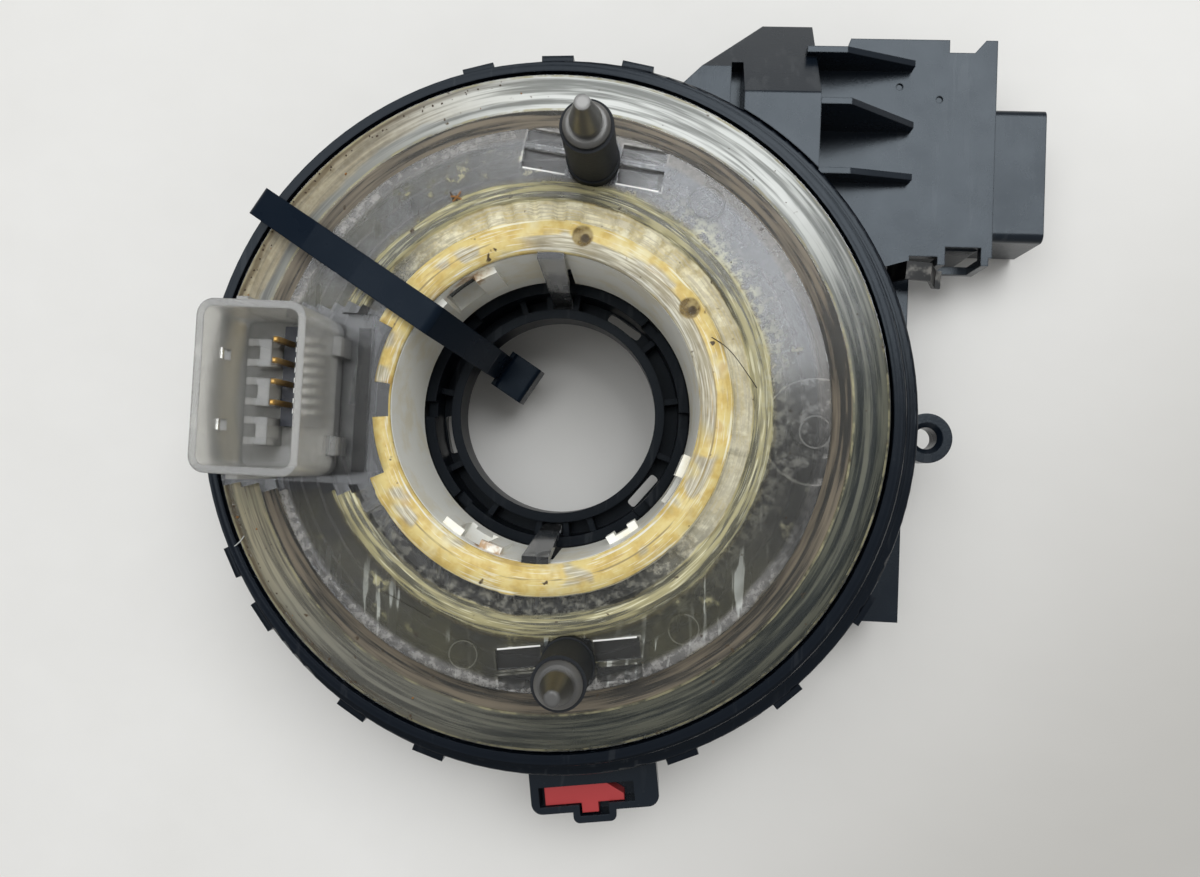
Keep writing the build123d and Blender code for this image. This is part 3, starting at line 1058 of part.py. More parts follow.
with BuildPart() as wheel_connector:
    with BuildSketch(rotor_frame(PLATEAU_Z)):
        with Locations((span(TOWER_LEFT, TOWER_RIGHT), 0)):
            RectangleRounded(TOWER_RIGHT - TOWER_LEFT, TOWER_HALF * 2, TOWER_CORNER)
    extrude(amount=TOWER_TOP_Z - PLATEAU_Z)
    with BuildSketch(rotor_frame(tower_floor)):
        with Locations((span(TOWER_LEFT, TOWER_RIGHT), 0)):
            RectangleRounded(TOWER_RIGHT - TOWER_LEFT - TOWER_WALL * 2, TOWER_HALF * 2 - TOWER_WALL * 2,
                             TOWER_CORNER - TOWER_WALL)
    extrude(amount=TOWER_TOP_Z, mode=Mode.SUBTRACT)
    # three U-shaped keying blocks
    with BuildSketch(rotor_frame(tower_floor)):
        with Locations((span(KEY_LEFT, KEY_RIGHT), 0)):
            with GridLocations(0, KEY_PITCH, 1, 3):
                Rectangle(KEY_RIGHT - KEY_LEFT, KEY_W)
        with Locations((KEY_LEFT, 0)):
            with GridLocations(0, KEY_PITCH, 1, 3):
                Rectangle(KEY_RIGHT - KEY_LEFT, KEY_SLOT_W, mode=Mode.SUBTRACT)
    extrude(amount=KEY_TOP_Z - tower_floor)
    with BuildSketch(rotor_frame(TOWER_WINDOW_Z)):
        with Locations((TOWER_LEFT, TOWER_WINDOW_Y), (TOWER_LEFT, -TOWER_WINDOW_Y)):
            Rectangle(TOWER_WALL * 3, TOWER_WINDOW_W)
    extrude(amount=TOWER_WINDOW_H, mode=Mode.SUBTRACT)
    # snap lugs at the foot and rails up the two ends
    with BuildSketch(rotor_frame(PLATEAU_Z)):
        with Locations((TOWER_RIGHT, TOWER_LUG_AT), (TOWER_RIGHT, -TOWER_LUG_AT)):
            Rectangle(TOWER_LUG_T * 2, TOWER_LUG_W)
    extrude(amount=TOWER_LUG_H)
    with BuildSketch(rotor_frame(PLATEAU_Z)):
        with Locations((TOWER_RAIL_X, TOWER_HALF), (TOWER_RAIL_X, -TOWER_HALF)):
            Rectangle(TOWER_RAIL_W, TOWER_RAIL_T * 2)
    extrude(amount=TOWER_TOP_Z - TOWER_RAIL_DROP - PLATEAU_Z)
    with BuildSketch(rotor_frame(PLATEAU_Z)):
        with Locations(*pin_spots):
            Rectangle(PIN_SQ, PIN_SQ)
    extrude(amount=TOWER_FLOOR_T, mode=Mode.SUBTRACT)
wheel_connector.part.label = "wheel_connector"
export_step(wheel_connector.part, "parts/wheel_connector.step")

with BuildPart() as terminal_carrier:
    with BuildSketch(rotor_frame(tower_floor)):
        with Locations((span(CARRIER_LEFT, CARRIER_RIGHT), span(CARRIER_NEAR, CARRIER_FAR))):
            Rectangle(CARRIER_RIGHT - CARRIER_LEFT, CARRIER_FAR - CARRIER_NEAR)
        with Locations(*pin_spots):
            Rectangle(PIN_SQ, PIN_SQ, mode=Mode.SUBTRACT)
    extrude(amount=CARRIER_T)
    with BuildSketch(rotor_frame(tower_floor)):
        with Locations((span(TOOTH_LEFT, CARRIER_RIGHT), span(CARRIER_NEAR, CARRIER_FAR))):
            with GridLocations(0, TOOTH_PITCH, 1, TOOTH_COUNT):
                Rectangle(CARRIER_RIGHT - TOOTH_LEFT, TOOTH_W)
    extrude(amount=TOOTH_TOP_Z - tower_floor)
terminal_carrier.part.label = "terminal_carrier"
export_step(terminal_carrier.part, "parts/terminal_carrier.step")

with BuildPart() as wheel_terminals:
    with BuildSketch(rotor_frame(PLATEAU_Z)):
        with Locations(*pin_spots):
            Rectangle(PIN_SQ, PIN_SQ)
    extrude(amount=WHEEL_PIN_Z - PLATEAU_Z)
    chamfer(wheel_terminals.edges().filter_by(Axis.Z, reverse=True).group_by(Axis.Z)[-1], length=PIN_SQ / 4)
wheel_terminals.part.label = "wheel_terminals"
export_step(wheel_terminals.part, "parts/wheel_terminals.step")

guide_r = math.hypot(GUIDE_X, GUIDE_Y)
guide_turn = math.degrees(math.atan2(GUIDE_Y, GUIDE_X))
upper_spot = around(guide_turn + ROTOR_TURN, guide_r, 0)
lower_spot = around(-guide_turn + ROTOR_TURN, guide_r, 0)


def guide_section(spot):
    """Upright plane through a guide pin's axis."""
    return Plane(origin=spot.origin, x_dir=spot.x_dir, z_dir=-spot.y_dir)


with BuildPart() as guide_pin_upper:
    with BuildSketch(guide_section(upper_spot)):
        Polygon((0, cover_under), (GUIDE_SHANK_R, cover_under), (GUIDE_SHANK_R, SLEEVE_TOP_Z),
                (GUIDE_FLANGE_R, SLEEVE_TOP_Z), (GUIDE_FLANGE_R, SLEEVE_TOP_Z + GUIDE_FLANGE_H),
                (GUIDE_FLANGE_R - GUIDE_CHAMFER, SLEEVE_TOP_Z + GUIDE_FLANGE_H + GUIDE_CHAMFER),
                (GUIDE_NECK_R, SLEEVE_TOP_Z + GUIDE_FLANGE_H + GUIDE_CHAMFER),
                (GUIDE_NECK_R, SLEEVE_TOP_Z + GUIDE_FLANGE_H + GUIDE_CHAMFER + GUIDE_NECK_H),
                (GUIDE_TIP_R, GUIDE_TIP_Z), (0, GUIDE_TIP_Z))
    revolve(axis=Axis(upper_spot.origin, (0, 0, 1)))
guide_pin_upper.part.label = "guide_pin_upper"
export_step(guide_pin_upper.part, "parts/guide_pin_upper.step")

with BuildPart() as guide_pin_lower:
    with BuildSketch(guide_section(lower_spot)):
        Polygon((0, cover_under), (GUIDE_SHANK_R, cover_under), (GUIDE_SHANK_R, SLEEVE_TOP_Z),
                (GUIDE_FLANGE_R, SLEEVE_TOP_Z), (GUIDE_FLANGE_R, SLEEVE_TOP_Z + GUIDE_FLANGE_H),
                (GUIDE_FLANGE_R - GUIDE_CHAMFER, SLEEVE_TOP_Z + GUIDE_FLANGE_H + GUIDE_CHAMFER),
                (GUIDE_NECK_R, SLEEVE_TOP_Z + GUIDE_FLANGE_H + GUIDE_CHAMFER),
                (GUIDE_NECK_R, SLEEVE_TOP_Z + GUIDE_FLANGE_H + GUIDE_CHAMFER + GUIDE_NECK_H),
                (GUIDE_TIP_R, GUIDE_TIP_Z), (0, GUIDE_TIP_Z))
    revolve(axis=Axis(lower_spot.origin, (0, 0, 1)))
guide_pin_lower.part.label = "guide_pin_lower"
export_step(guide_pin_lower.part, "parts/guide_pin_lower.step")

with BuildPart() as pin_sleeve_upper:
    with BuildSketch(guide_section(upper_spot)):
        Polygon((GUIDE_SHANK_R, PLATEAU_Z), (SLEEVE_FOOT_R, PLATEAU_Z),
                (SLEEVE_FOOT_R, PLATEAU_Z + SLEEVE_FOOT_H), (SLEEVE_R, PLATEAU_Z + SLEEVE_FOOT_H),
                (SLEEVE_R, SLEEVE_TOP_Z), (GUIDE_SHANK_R, SLEEVE_TOP_Z))
    revolve(axis=Axis(upper_spot.origin, (0, 0, 1)))
pin_sleeve_upper.part.label = "pin_sleeve_upper"
export_step(pin_sleeve_upper.part, "parts/pin_sleeve_upper.step")

with BuildPart() as pin_sleeve_lower:
    with BuildSketch(guide_section(lower_spot)):
        Polygon((GUIDE_SHANK_R, PLATEAU_Z), (SLEEVE_FOOT_R, PLATEAU_Z),
                (SLEEVE_FOOT_R, PLATEAU_Z + SLEEVE_FOOT_H), (SLEEVE_R, PLATEAU_Z + SLEEVE_FOOT_H),
                (SLEEVE_R, SLEEVE_TOP_Z), (GUIDE_SHANK_R, SLEEVE_TOP_Z))
    revolve(axis=Axis(lower_spot.origin, (0, 0, 1)))
pin_sleeve_lower.part.label = "pin_sleeve_lower"
export_step(pin_sleeve_lower.part, "parts/pin_sleeve_lower.step")
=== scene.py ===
import math
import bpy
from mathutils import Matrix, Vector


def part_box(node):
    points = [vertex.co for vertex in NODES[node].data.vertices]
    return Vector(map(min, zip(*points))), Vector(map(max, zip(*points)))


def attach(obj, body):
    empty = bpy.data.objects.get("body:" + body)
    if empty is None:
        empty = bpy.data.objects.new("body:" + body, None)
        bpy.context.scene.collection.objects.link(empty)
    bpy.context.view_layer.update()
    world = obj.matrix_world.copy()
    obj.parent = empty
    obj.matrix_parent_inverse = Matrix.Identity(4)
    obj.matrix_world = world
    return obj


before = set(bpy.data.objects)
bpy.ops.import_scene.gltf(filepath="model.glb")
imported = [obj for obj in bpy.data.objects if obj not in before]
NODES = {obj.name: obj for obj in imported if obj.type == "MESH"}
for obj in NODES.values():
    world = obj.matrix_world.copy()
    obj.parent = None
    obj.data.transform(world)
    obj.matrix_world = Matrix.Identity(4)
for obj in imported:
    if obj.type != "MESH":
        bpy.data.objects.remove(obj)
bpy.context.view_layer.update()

from types import SimpleNamespace

import bmesh
import bpy
from mathutils import Matrix, Vector

MM = 0.001

# ---- Sizes of the clear rotor, in millimetres from its axis and from the part's zero height ----

ROTOR_TURN = math.radians(-0.4)          # how the rotor stands against the fixed side
LIP_TOP = 23.4
LIP_IN_R = 19.62
LIP_HOLE_R = 22.1                        # where the two blind holes of the lip lie
LIP_HOLE_ANGLES = (36.6, 79.8)
TROUGH_FLOOR = 22.3
TROUGH_BLOCK_TOP = 23.1
TROUGH_BLOCK_ANGLES = (51.0, 60.0, 69.0, 84.0, 92.0, 99.0, 107.0, 212.0, 262.0, 318.0, 352.0)
PLATEAU_TOP = 22.0
PLATEAU_LOW = 21.3                       # the plateau falls to this towards its outer edge
PLATEAU_MARKS = 21.5                     # height of what is moulded into the plateau
PLATEAU_IN_R = 28.9
PLATEAU_OUT_R = 36.2
STEP_TOP = 19.7                          # the groove outside the plateau
FLANGE_TOP = 19.5
GUIDE_X = 4.7                            # the guide pins stand at plus and minus GUIDE_Y
GUIDE_Y = 31.8
GUIDE_R = math.hypot(GUIDE_X, GUIDE_Y)
GUIDE_TURN = math.atan2(GUIDE_Y, GUIDE_X)


def rotor_spot(angle, radius, height=0.0):
    """Point on the rotor from its own angle in degrees and its radius and height in millimetres."""
    a = math.radians(angle) + ROTOR_TURN
    return Vector((radius * math.cos(a), radius * math.sin(a), height)) * MM


def plateau_height(radius):
    """Height in millimetres of the clear disc's gently falling top at a radius in millimetres."""
    share = (radius - PLATEAU_IN_R) / (PLATEAU_OUT_R - PLATEAU_IN_R)
    return PLATEAU_TOP + (PLATEAU_LOW - PLATEAU_TOP) * min(max(share, 0.0), 1.0)


# ---- Camera ----

CAMERA_SPOT = Vector((14.27, -7.49, 142.2)) * MM
CAMERA_TURN = (math.radians(1.988), math.radians(3.256), math.radians(2.456))
CAMERA_LENS_MM = 28.63
CAMERA_SENSOR_MM = 36.0
CAMERA_CLIP_START = 5.0 * MM

camera_data = bpy.data.cameras.new("camera")
camera_data.lens = CAMERA_LENS_MM
camera_data.sensor_width = CAMERA_SENSOR_MM
camera_data.clip_start = CAMERA_CLIP_START
camera = bpy.data.objects.new("camera", camera_data)
camera.location = CAMERA_SPOT
camera.rotation_euler = CAMERA_TURN
bpy.context.scene.collection.objects.link(camera)
bpy.context.scene.camera = camera

# ---- Light and backdrop ----


def area_light(name, spot, size, watts):
    """Round soft lamp that looks at the middle of the part."""
    data = bpy.data.lights.new(name, "AREA")
    data.shape = "DISK"
    data.size = size
    data.energy = watts
    data.color = LAMP_COLOUR
    lamp = bpy.data.objects.new(name, data)
    lamp.location = spot
    lamp.rotation_euler = (-Vector(spot)).to_track_quat("-Z", "Y").to_euler()
    bpy.context.scene.collection.objects.link(lamp)


LAMP_COLOUR = (0.94, 0.97, 1.0)
ROOM_COLOUR = (0.96, 0.97, 0.98, 1.0)
ROOM_STRENGTH = 0.445
area_light("ceiling_panel", (0.255, 0.39, 0.90), size=0.56, watts=4.9)
area_light("window_panel", (-0.30, 0.26, 0.92), size=0.70, watts=3.1)

world = bpy.data.worlds.new("pale_room")
world.use_nodes = True
bpy.context.scene.world = world
room = world.node_tree.nodes["Background"]
room.inputs["Color"].default_value = ROOM_COLOUR
room.inputs["Strength"].default_value = ROOM_STRENGTH
bpy.context.scene.view_settings.view_transform = "Standard"

# ---- Node helpers ----


class Graph:
    """Shorthand for laying nodes into a tree; a value may be a number, a colour or another node's output."""

    MIX_FACTOR, MIX_A, MIX_B = 0, 6, 7   # the colour sockets of the Mix node
    MIX_COLOUR = 2

    def __init__(self, tree):
        self.tree = tree

    def add(self, kind, **settings):
        node = self.tree.nodes.new(kind)
        for key, value in settings.items():
            setattr(node, key, value)
        return node

    def link(self, source, target):
        self.tree.links.new(source, target)

    def feed(self, target, value):
        """Puts a value or another node's output into a socket."""
        if isinstance(value, bpy.types.NodeSocket):
            self.link(value, target)
        else:
            target.default_value = value

    def fill(self, node, *values, **named):
        """Fills a node's sockets, in order or by name, and returns its outputs."""
        for slot, value in (*enumerate(values), *named.items()):
            self.feed(node.inputs[slot.replace("_", " ") if isinstance(slot, str) else slot], value)
        return node.outputs

    def maths(self, operation, a, b=0.0, clamp=False):
        return self.fill(self.add("ShaderNodeMath", operation=operation, use_clamp=clamp), a, b)[0]

    def plus(self, a, b, clamp=False):
        return self.maths("ADD", a, b, clamp)

    def minus(self, a, b, clamp=False):
        return self.maths("SUBTRACT", a, b, clamp)

    def times(self, a, b, clamp=False):
        return self.maths("MULTIPLY", a, b, clamp)

    def vector(self, operation, *values, **named):
        return self.fill(self.add("ShaderNodeVectorMath", operation=operation), *values, **named)

    def parts(self, vector):
        """A vector's X, Y and Z."""
        return self.fill(self.add("ShaderNodeSeparateXYZ"), vector)

    def mix(self, factor, a, b):
        """Blend of two colours; a plain colour is given as red, green and blue."""
        node = self.add("ShaderNodeMix", data_type="RGBA")
        for slot, value in ((self.MIX_FACTOR, factor), (self.MIX_A, a), (self.MIX_B, b)):
            self.feed(node.inputs[slot], (*value, 1.0) if isinstance(value, tuple) else value)
        return node.outputs[self.MIX_COLOUR]

    def noise(self, vector, scale, detail=4.0, rough=0.55):
        """Fractal noise from 0 to 1; the scale is in features per metre."""
        node = self.add("ShaderNodeTexNoise")
        return self.fill(node, Vector=vector, Scale=scale, Detail=detail, Roughness=rough)["Fac"]

    def ramp(self, value, low, high, out_low=0.0, out_high=1.0):
        """Smooth step from out_low to out_high while the value goes from low to high."""
        node = self.add("ShaderNodeMapRange", clamp=True, interpolation_type="SMOOTHSTEP")
        return self.fill(node, value, low, high, out_low, out_high)[0]

    def place(self):
        """The point on the part, in the part's own metres."""
        return self.add("ShaderNodeTexCoord").outputs["Object"]


FLOAT = "NodeSocketFloat"
VECTOR = "NodeSocketVector"


def new_group(name, inputs, outputs, output_kind=FLOAT):
    """An empty shader node group, its graph, inputs and outputs; an input without a value is a vector."""
    group = bpy.data.node_groups.new(name, "ShaderNodeTree")
    for socket, value in inputs.items():
        kind = VECTOR if value is None else FLOAT
        item = group.interface.new_socket(socket, in_out="INPUT", socket_type=kind)
        if value is not None:
            item.default_value = value
    for socket in outputs:
        group.interface.new_socket(socket, in_out="OUTPUT", socket_type=output_kind)
    graph = Graph(group)
    return group, graph, graph.add("NodeGroupInput").outputs, graph.add("NodeGroupOutput").inputs


def build_ring_mask():
    """Mask that is 1 between two radii round the Z axis, with ragged soft edges."""
    group, g, given, out = new_group(
        "ring_mask",
        {"Position": None, "Inner": 0.02, "Outer": 0.03, "Softness": 0.002, "Raggedness": 0.002,
         "Wobble": 0.5},
        ("Mask", "Radius"))
    x, y, _ = g.parts(given["Position"])
    radius = g.maths("SQRT", g.plus(g.times(x, x), g.times(y, y)))
    wobble = g.times(g.minus(given["Wobble"], 0.5), given["Raggedness"])
    moved = g.plus(radius, g.times(wobble, 2.0))
    inside, outside = (g.ramp(moved, g.minus(given[edge], given["Softness"]),
                              g.plus(given[edge], given["Softness"])) for edge in ("Inner", "Outer"))
    g.link(g.minus(inside, outside, clamp=True), out["Mask"])
    g.link(radius, out["Radius"])
    return group


def build_polar_streaks():
    """Noise drawn out round the Z axis, like turned marks and wiped dirt."""
    group, g, given, out = new_group(
        "polar_streaks",
        {"Position": None, "Around": 3.0, "Across": 1500.0, "Detail": 3.0},
        ("Streak",))
    flat = g.vector("MULTIPLY", given["Position"], (1.0, 1.0, 0.0))[0]
    turn = g.vector("SCALE", g.vector("NORMALIZE", flat)[0], Scale=given["Around"])[0]
    across = g.times(g.vector("LENGTH", flat)["Value"], given["Across"])
    total = g.vector("ADD", turn, g.fill(g.add("ShaderNodeCombineXYZ"), Z=across)[0])[0]
    g.link(g.noise(total, 1.0, given["Detail"], 0.6), out["Streak"])
    return group


def build_scuffing():
    """Fine scratches and worn patches: a mask and a height for the bump."""
    group, g, given, out = new_group(
        "scuffing",
        {"Position": None, "Scratch Scale": 900.0, "Patch Scale": 90.0, "Amount": 0.5},
        ("Mask", "Height"))
    place = given["Position"]
    drawn = g.fill(g.add("ShaderNodeMapping"), Vector=place, Scale=(1.0, 0.12, 0.5), Rotation=(0.0, 0.0, 0.9))
    streaks = g.ramp(g.noise(drawn[0], given["Scratch Scale"], 2.0), 0.575, 0.65)
    patches = g.ramp(g.noise(place, given["Patch Scale"], 3.0), 0.42, 0.66)
    wear_and_edge_highlight = g.times(g.times(streaks, patches), given["Amount"])
    g.link(wear_and_edge_highlight, out["Mask"])
    g.link(g.minus(g.noise(place, given["Scratch Scale"], 3.0), g.times(wear_and_edge_highlight, 0.6)), out["Height"])
    return group


def build_dust():
    """Pale dust specks and a thin haze."""
    group, g, given, out = new_group(
        "dust",
        {"Position": None, "Speck Scale": 1400.0, "Cover": 0.3},
        ("Mask",))
    cells = g.fill(g.add("ShaderNodeTexVoronoi"), Vector=given["Position"], Scale=given["Speck Scale"])
    specks = g.ramp(cells["Distance"], 0.10, 0.22, 1.0, 0.0)
    where = g.ramp(g.noise(given["Position"], 150.0, 2.0), 0.45, 0.68)
    haze = g.times(g.noise(given["Position"], 45.0, 3.0), 0.35)
    g.link(g.times(g.plus(g.times(specks, where), haze), given["Cover"], clamp=True), out["Mask"])
    return group


def build_spot_mask():
    """Soft round mask about a point, with a ragged edge."""
    group, g, given, out = new_group(
        "spot_mask",
        {"Position": None, "Spot": None, "Radius": 0.003, "Softness": 0.001, "Raggedness": 0.001,
         "Wobble": 0.5},
        ("Mask", "Distance"))
    away = g.vector("DISTANCE", given["Position"], given["Spot"])["Value"]
    wobble = g.times(g.minus(given["Wobble"], 0.5), given["Raggedness"])
    reach = g.plus(away, g.times(wobble, 2.0))
    g.link(g.ramp(reach, given["Radius"], g.plus(given["Radius"], given["Softness"]), 1.0, 0.0), out["Mask"])
    g.link(away, out["Distance"])
    return group


def build_side_mask():
    """Mask that rises across the part along a direction."""
    group, g, given, out = new_group(
        "side_mask",
        {"Position": None, "Direction": None, "Start": 0.0, "End": 0.03},
        ("Mask",))
    along = g.vector("DOT_PRODUCT", given["Position"], given["Direction"])["Value"]
    g.link(g.ramp(along, given["Start"], given["End"]), out["Mask"])
    return group


def build_box_mask():
    """Mask of an upright box, and of the thin line round it."""
    group, g, given, out = new_group(
        "box_mask",
        {"Position": None, "Spot": None, "Half Size": None, "Softness": 0.0001, "Line": 0.0003},
        ("Mask", "Outline"))
    local = g.vector("SUBTRACT", given["Position"], given["Spot"])[0]
    over_x, over_y, _ = g.parts(g.vector("SUBTRACT", g.vector("ABSOLUTE", local)[0], given["Half Size"])[0])
    outside = g.maths("MAXIMUM", over_x, over_y)
    inner = g.ramp(outside, g.times(given["Softness"], -1.0), 0.0, 1.0, 0.0)
    outer = g.ramp(outside, given["Line"], g.plus(given["Line"], given["Softness"]), 1.0, 0.0)
    g.link(inner, out["Mask"])
    g.link(g.minus(outer, inner, clamp=True), out["Outline"])
    return group


def build_pin_fold():
    """Place beside a guide pin: out along the pin's radius and across it, the same for all four sides."""
    group, g, given, out = new_group("pin_fold", {"Position": None}, ("Folded",), VECTOR)
    place = given["Position"]
    for turn, shift in ((-ROTOR_TURN, 0.0), (-GUIDE_TURN, -GUIDE_R * MM)):
        turned = g.fill(g.add("ShaderNodeVectorRotate", rotation_type="Z_AXIS"), Vector=place, Angle=turn)[0]
        x, y, _ = g.parts(turned)
        place = g.fill(g.add("ShaderNodeCombineXYZ"), g.plus(x, shift), g.maths("ABSOLUTE", y))[0]
    g.link(place, out["Folded"])
    return group


RING_MASK = build_ring_mask()
BOX_MASK = build_box_mask()
SPOT_MASK = build_spot_mask()
SIDE_MASK = build_side_mask()
SCUFFING = build_scuffing()
DUST = build_dust()
POLAR_STREAKS = build_polar_streaks()
PIN_FOLD = build_pin_fold()


def use_group(g, group, **values):
    """Lays a group into a tree, fills its named sockets and returns its outputs."""
    return g.fill(g.add("ShaderNodeGroup", node_tree=group), **values)


def side_mask(g, place, direction, start, end):
    """Mask that rises along a direction from start to end, in millimetres."""
    return use_group(g, SIDE_MASK, Position=place, Direction=direction, Start=start * MM,
                     End=end * MM)["Mask"]


# ---- Materials ----

COOL_SHEEN = (0.84, 0.93, 1.0, 1.0)
COLD_SHEEN = (0.80, 0.91, 1.0, 1.0)
MOULD_EDGE = 0.22 * MM                   # radius that the finish gives to a moulding's edges
TOWER_EDGE = 0.3 * MM
PIN_EDGE = 0.6 * MM
GRAIN_DEPTH = 0.03 * MM
TURNED_LINES = 9000.0                    # radians of the turned lines per metre of radius


def new_material(name, colour, roughness, metallic=0.0, **sockets):
    """A material with its constants on the shader: the material, its graph and the sockets."""
    material = bpy.data.materials.new(name)
    material.use_nodes = True
    shader = material.node_tree.nodes["Principled BSDF"].inputs
    shader["Base Color"].default_value = (*colour, 1.0)
    shader["Roughness"].default_value = roughness
    shader["Metallic"].default_value = metallic
    for socket, value in sockets.items():
        shader[socket.replace("_", " ")].default_value = value
    return material, Graph(material.node_tree), shader


def bump(g, shader, height, strength, distance, edge_radius=0.0):
    """Relief from a height; an edge radius also softens the moulding's edges."""
    node = g.add("ShaderNodeBump")
    if edge_radius:
        soft = g.fill(g.add("ShaderNodeBevel", samples=2), Radius=edge_radius)[0]
        g.link(soft, node.inputs["Normal"])
    g.link(g.fill(node, Height=height, Strength=strength, Distance=distance)[0], shader["Normal"])


def moulded_black(name, colour, roughness, gloss=0.36, dust_cover=0.25, turned_lines=0.0):
    """Satin moulding with a fine spark-eroded grain, light scuffs, dust and soft edges."""
    material, g, shader = new_material(name, colour, roughness, Specular_Tint=COOL_SHEEN,
                                       Specular_IOR_Level=gloss)
    place = g.place()
    scuffs = use_group(g, SCUFFING, Position=place, Scratch_Scale=700.0, Patch_Scale=60.0, Amount=0.5)
    dust = use_group(g, DUST, Position=place, Speck_Scale=900.0, Cover=dust_cover)
    scuffed, dusty = (0.16, 0.165, 0.17), (0.30, 0.30, 0.29)
    base = g.mix(g.times(scuffs["Mask"], 0.14), colour, scuffed)
    g.link(g.mix(g.times(dust["Mask"], 0.10), base, dusty), shader["Base Color"])
    g.link(g.plus(g.times(g.noise(place, 180.0), 0.16), roughness - 0.08), shader["Roughness"])
    relief = g.noise(place, 2600.0, 2.0)
    if turned_lines:
        radius = use_group(g, RING_MASK, Position=place, Inner=0.0, Outer=1.0, Softness=0.001,
                           Raggedness=0.0)["Radius"]
        wave = g.maths("SINE", g.times(radius, TURNED_LINES))
        relief = g.plus(relief, g.times(wave, turned_lines))
    bump(g, shader, relief, strength=0.30, distance=GRAIN_DEPTH, edge_radius=MOULD_EDGE)
    return material


def clear_disc():
    """Scuffed clear plastic, with painted shade on the side away from the window."""
    material, g, shader = new_material("scuffed_clear", (0.80, 0.81, 0.80), 0.12, Transmission_Weight=0.97,
                                       IOR=1.49)
    place = g.place()
    scuffs = use_group(g, SCUFFING, Position=place, Scratch_Scale=520.0, Patch_Scale=75.0, Amount=0.9)
    mottle = g.ramp(g.noise(place, 120.0, 3.0, 0.6), 0.35, 0.7)
    smoky, clear, dark = (0.56, 0.57, 0.60), (0.83, 0.83, 0.83), (0.33, 0.345, 0.36)
    # painted shade: the disc's colour darkens towards the lower right, away from the window lamp
    shaded = side_mask(g, place, (0.5, -0.86, 0.0), 4.0, 28.0)
    g.link(g.mix(shaded, g.mix(mottle, smoky, clear), dark), shader["Base Color"])
    g.link(g.plus(0.115, g.times(scuffs["Mask"], 0.3)), shader["Roughness"])
    bump(g, shader, g.noise(place, 520.0, 2.0), strength=0.25, distance=0.05 * MM)
    return material


# The film's zones from the hub outwards, in millimetres: inner and outer radius, softness, raggedness
FILM_ZONES = {
    "lip": (18.0, 23.9, 0.15, 0.3), "lip_bare": (19.6, 22.6, 0.4, 1.0), "lip_inside": (19.6, 21.7, 0.12, 0.5),
    "trough_tint": (23.75, 26.2, 0.12, 0.5), "trough": (23.9, 26.2, 0.15, 0.5),
    "ridge_tint": (26.2, 29.2, 0.2, 0.9), "ridge": (26.2, 29.0, 0.2, 1.0),
    "ridge_threads": (26.2, 28.9, 0.1, 0.2), "plateau_tint": (29.2, 36.15, 0.4, 0.9),
    "plateau": (28.6, 36.2, 0.3, 0.3), "plateau_worn": (29.0, 36.0, 0.4, 0.8),
    "stained": (28.0, 33.5, 1.5, 3.0), "fuzzy": (28.0, 31.3, 1.6, 3.2), "frost": (34.7, 36.3, 0.45, 0.6),
    "step": (36.25, 39.05, 0.08, 0.1), "flange": (39.05, 46.0, 0.1, 0.2),
    "flange_grey": (38.0, 40.6, 0.4, 1.2), "flange_line": (43.0, 43.7, 0.2, 0.7),
    "outer_edge_highlight": (43.55, 43.85, 0.06, 0.1), "inner_edge_highlight": (39.1, 39.4, 0.06, 0.2),
}
# Sides of the disc: direction, and how far along it the side begins and is full, in millimetres
FILM_SIDES = {
    "upper_right": ((0.58, 0.81, 0.0), 8.0, 36.0), "upper_left": ((-0.55, 0.84, 0.0), 12.0, 32.0),
    "left": ((-1.0, 0.1, 0.0), 2.0, 32.0), "bottom": ((0.1, -1.0, 0.0), 8.0, 34.0),
    "lower_right": ((0.80, -0.60, 0.0), 0.0, 34.0), "right": ((1.0, 0.0, 0.0), 8.0, 26.0),
    "creamy": ((0.70, 0.71, 0.0), -9.0, 9.0), "lip_creamy": ((0.70, 0.71, 0.0), 11.0, 14.0),
}
# Thin broken lines round the lip, a brown line in its middle and two pale painted highlights along its edges:
# inner and outer radius in millimetres, colour, streak at which they start
LIP_LINES = ((21.55, 21.75, (0.36, 0.28, 0.13), 0.44), (19.9, 20.15, (0.90, 0.87, 0.74), 0.50),
             (23.35, 23.6, (0.92, 0.87, 0.64), 0.50))
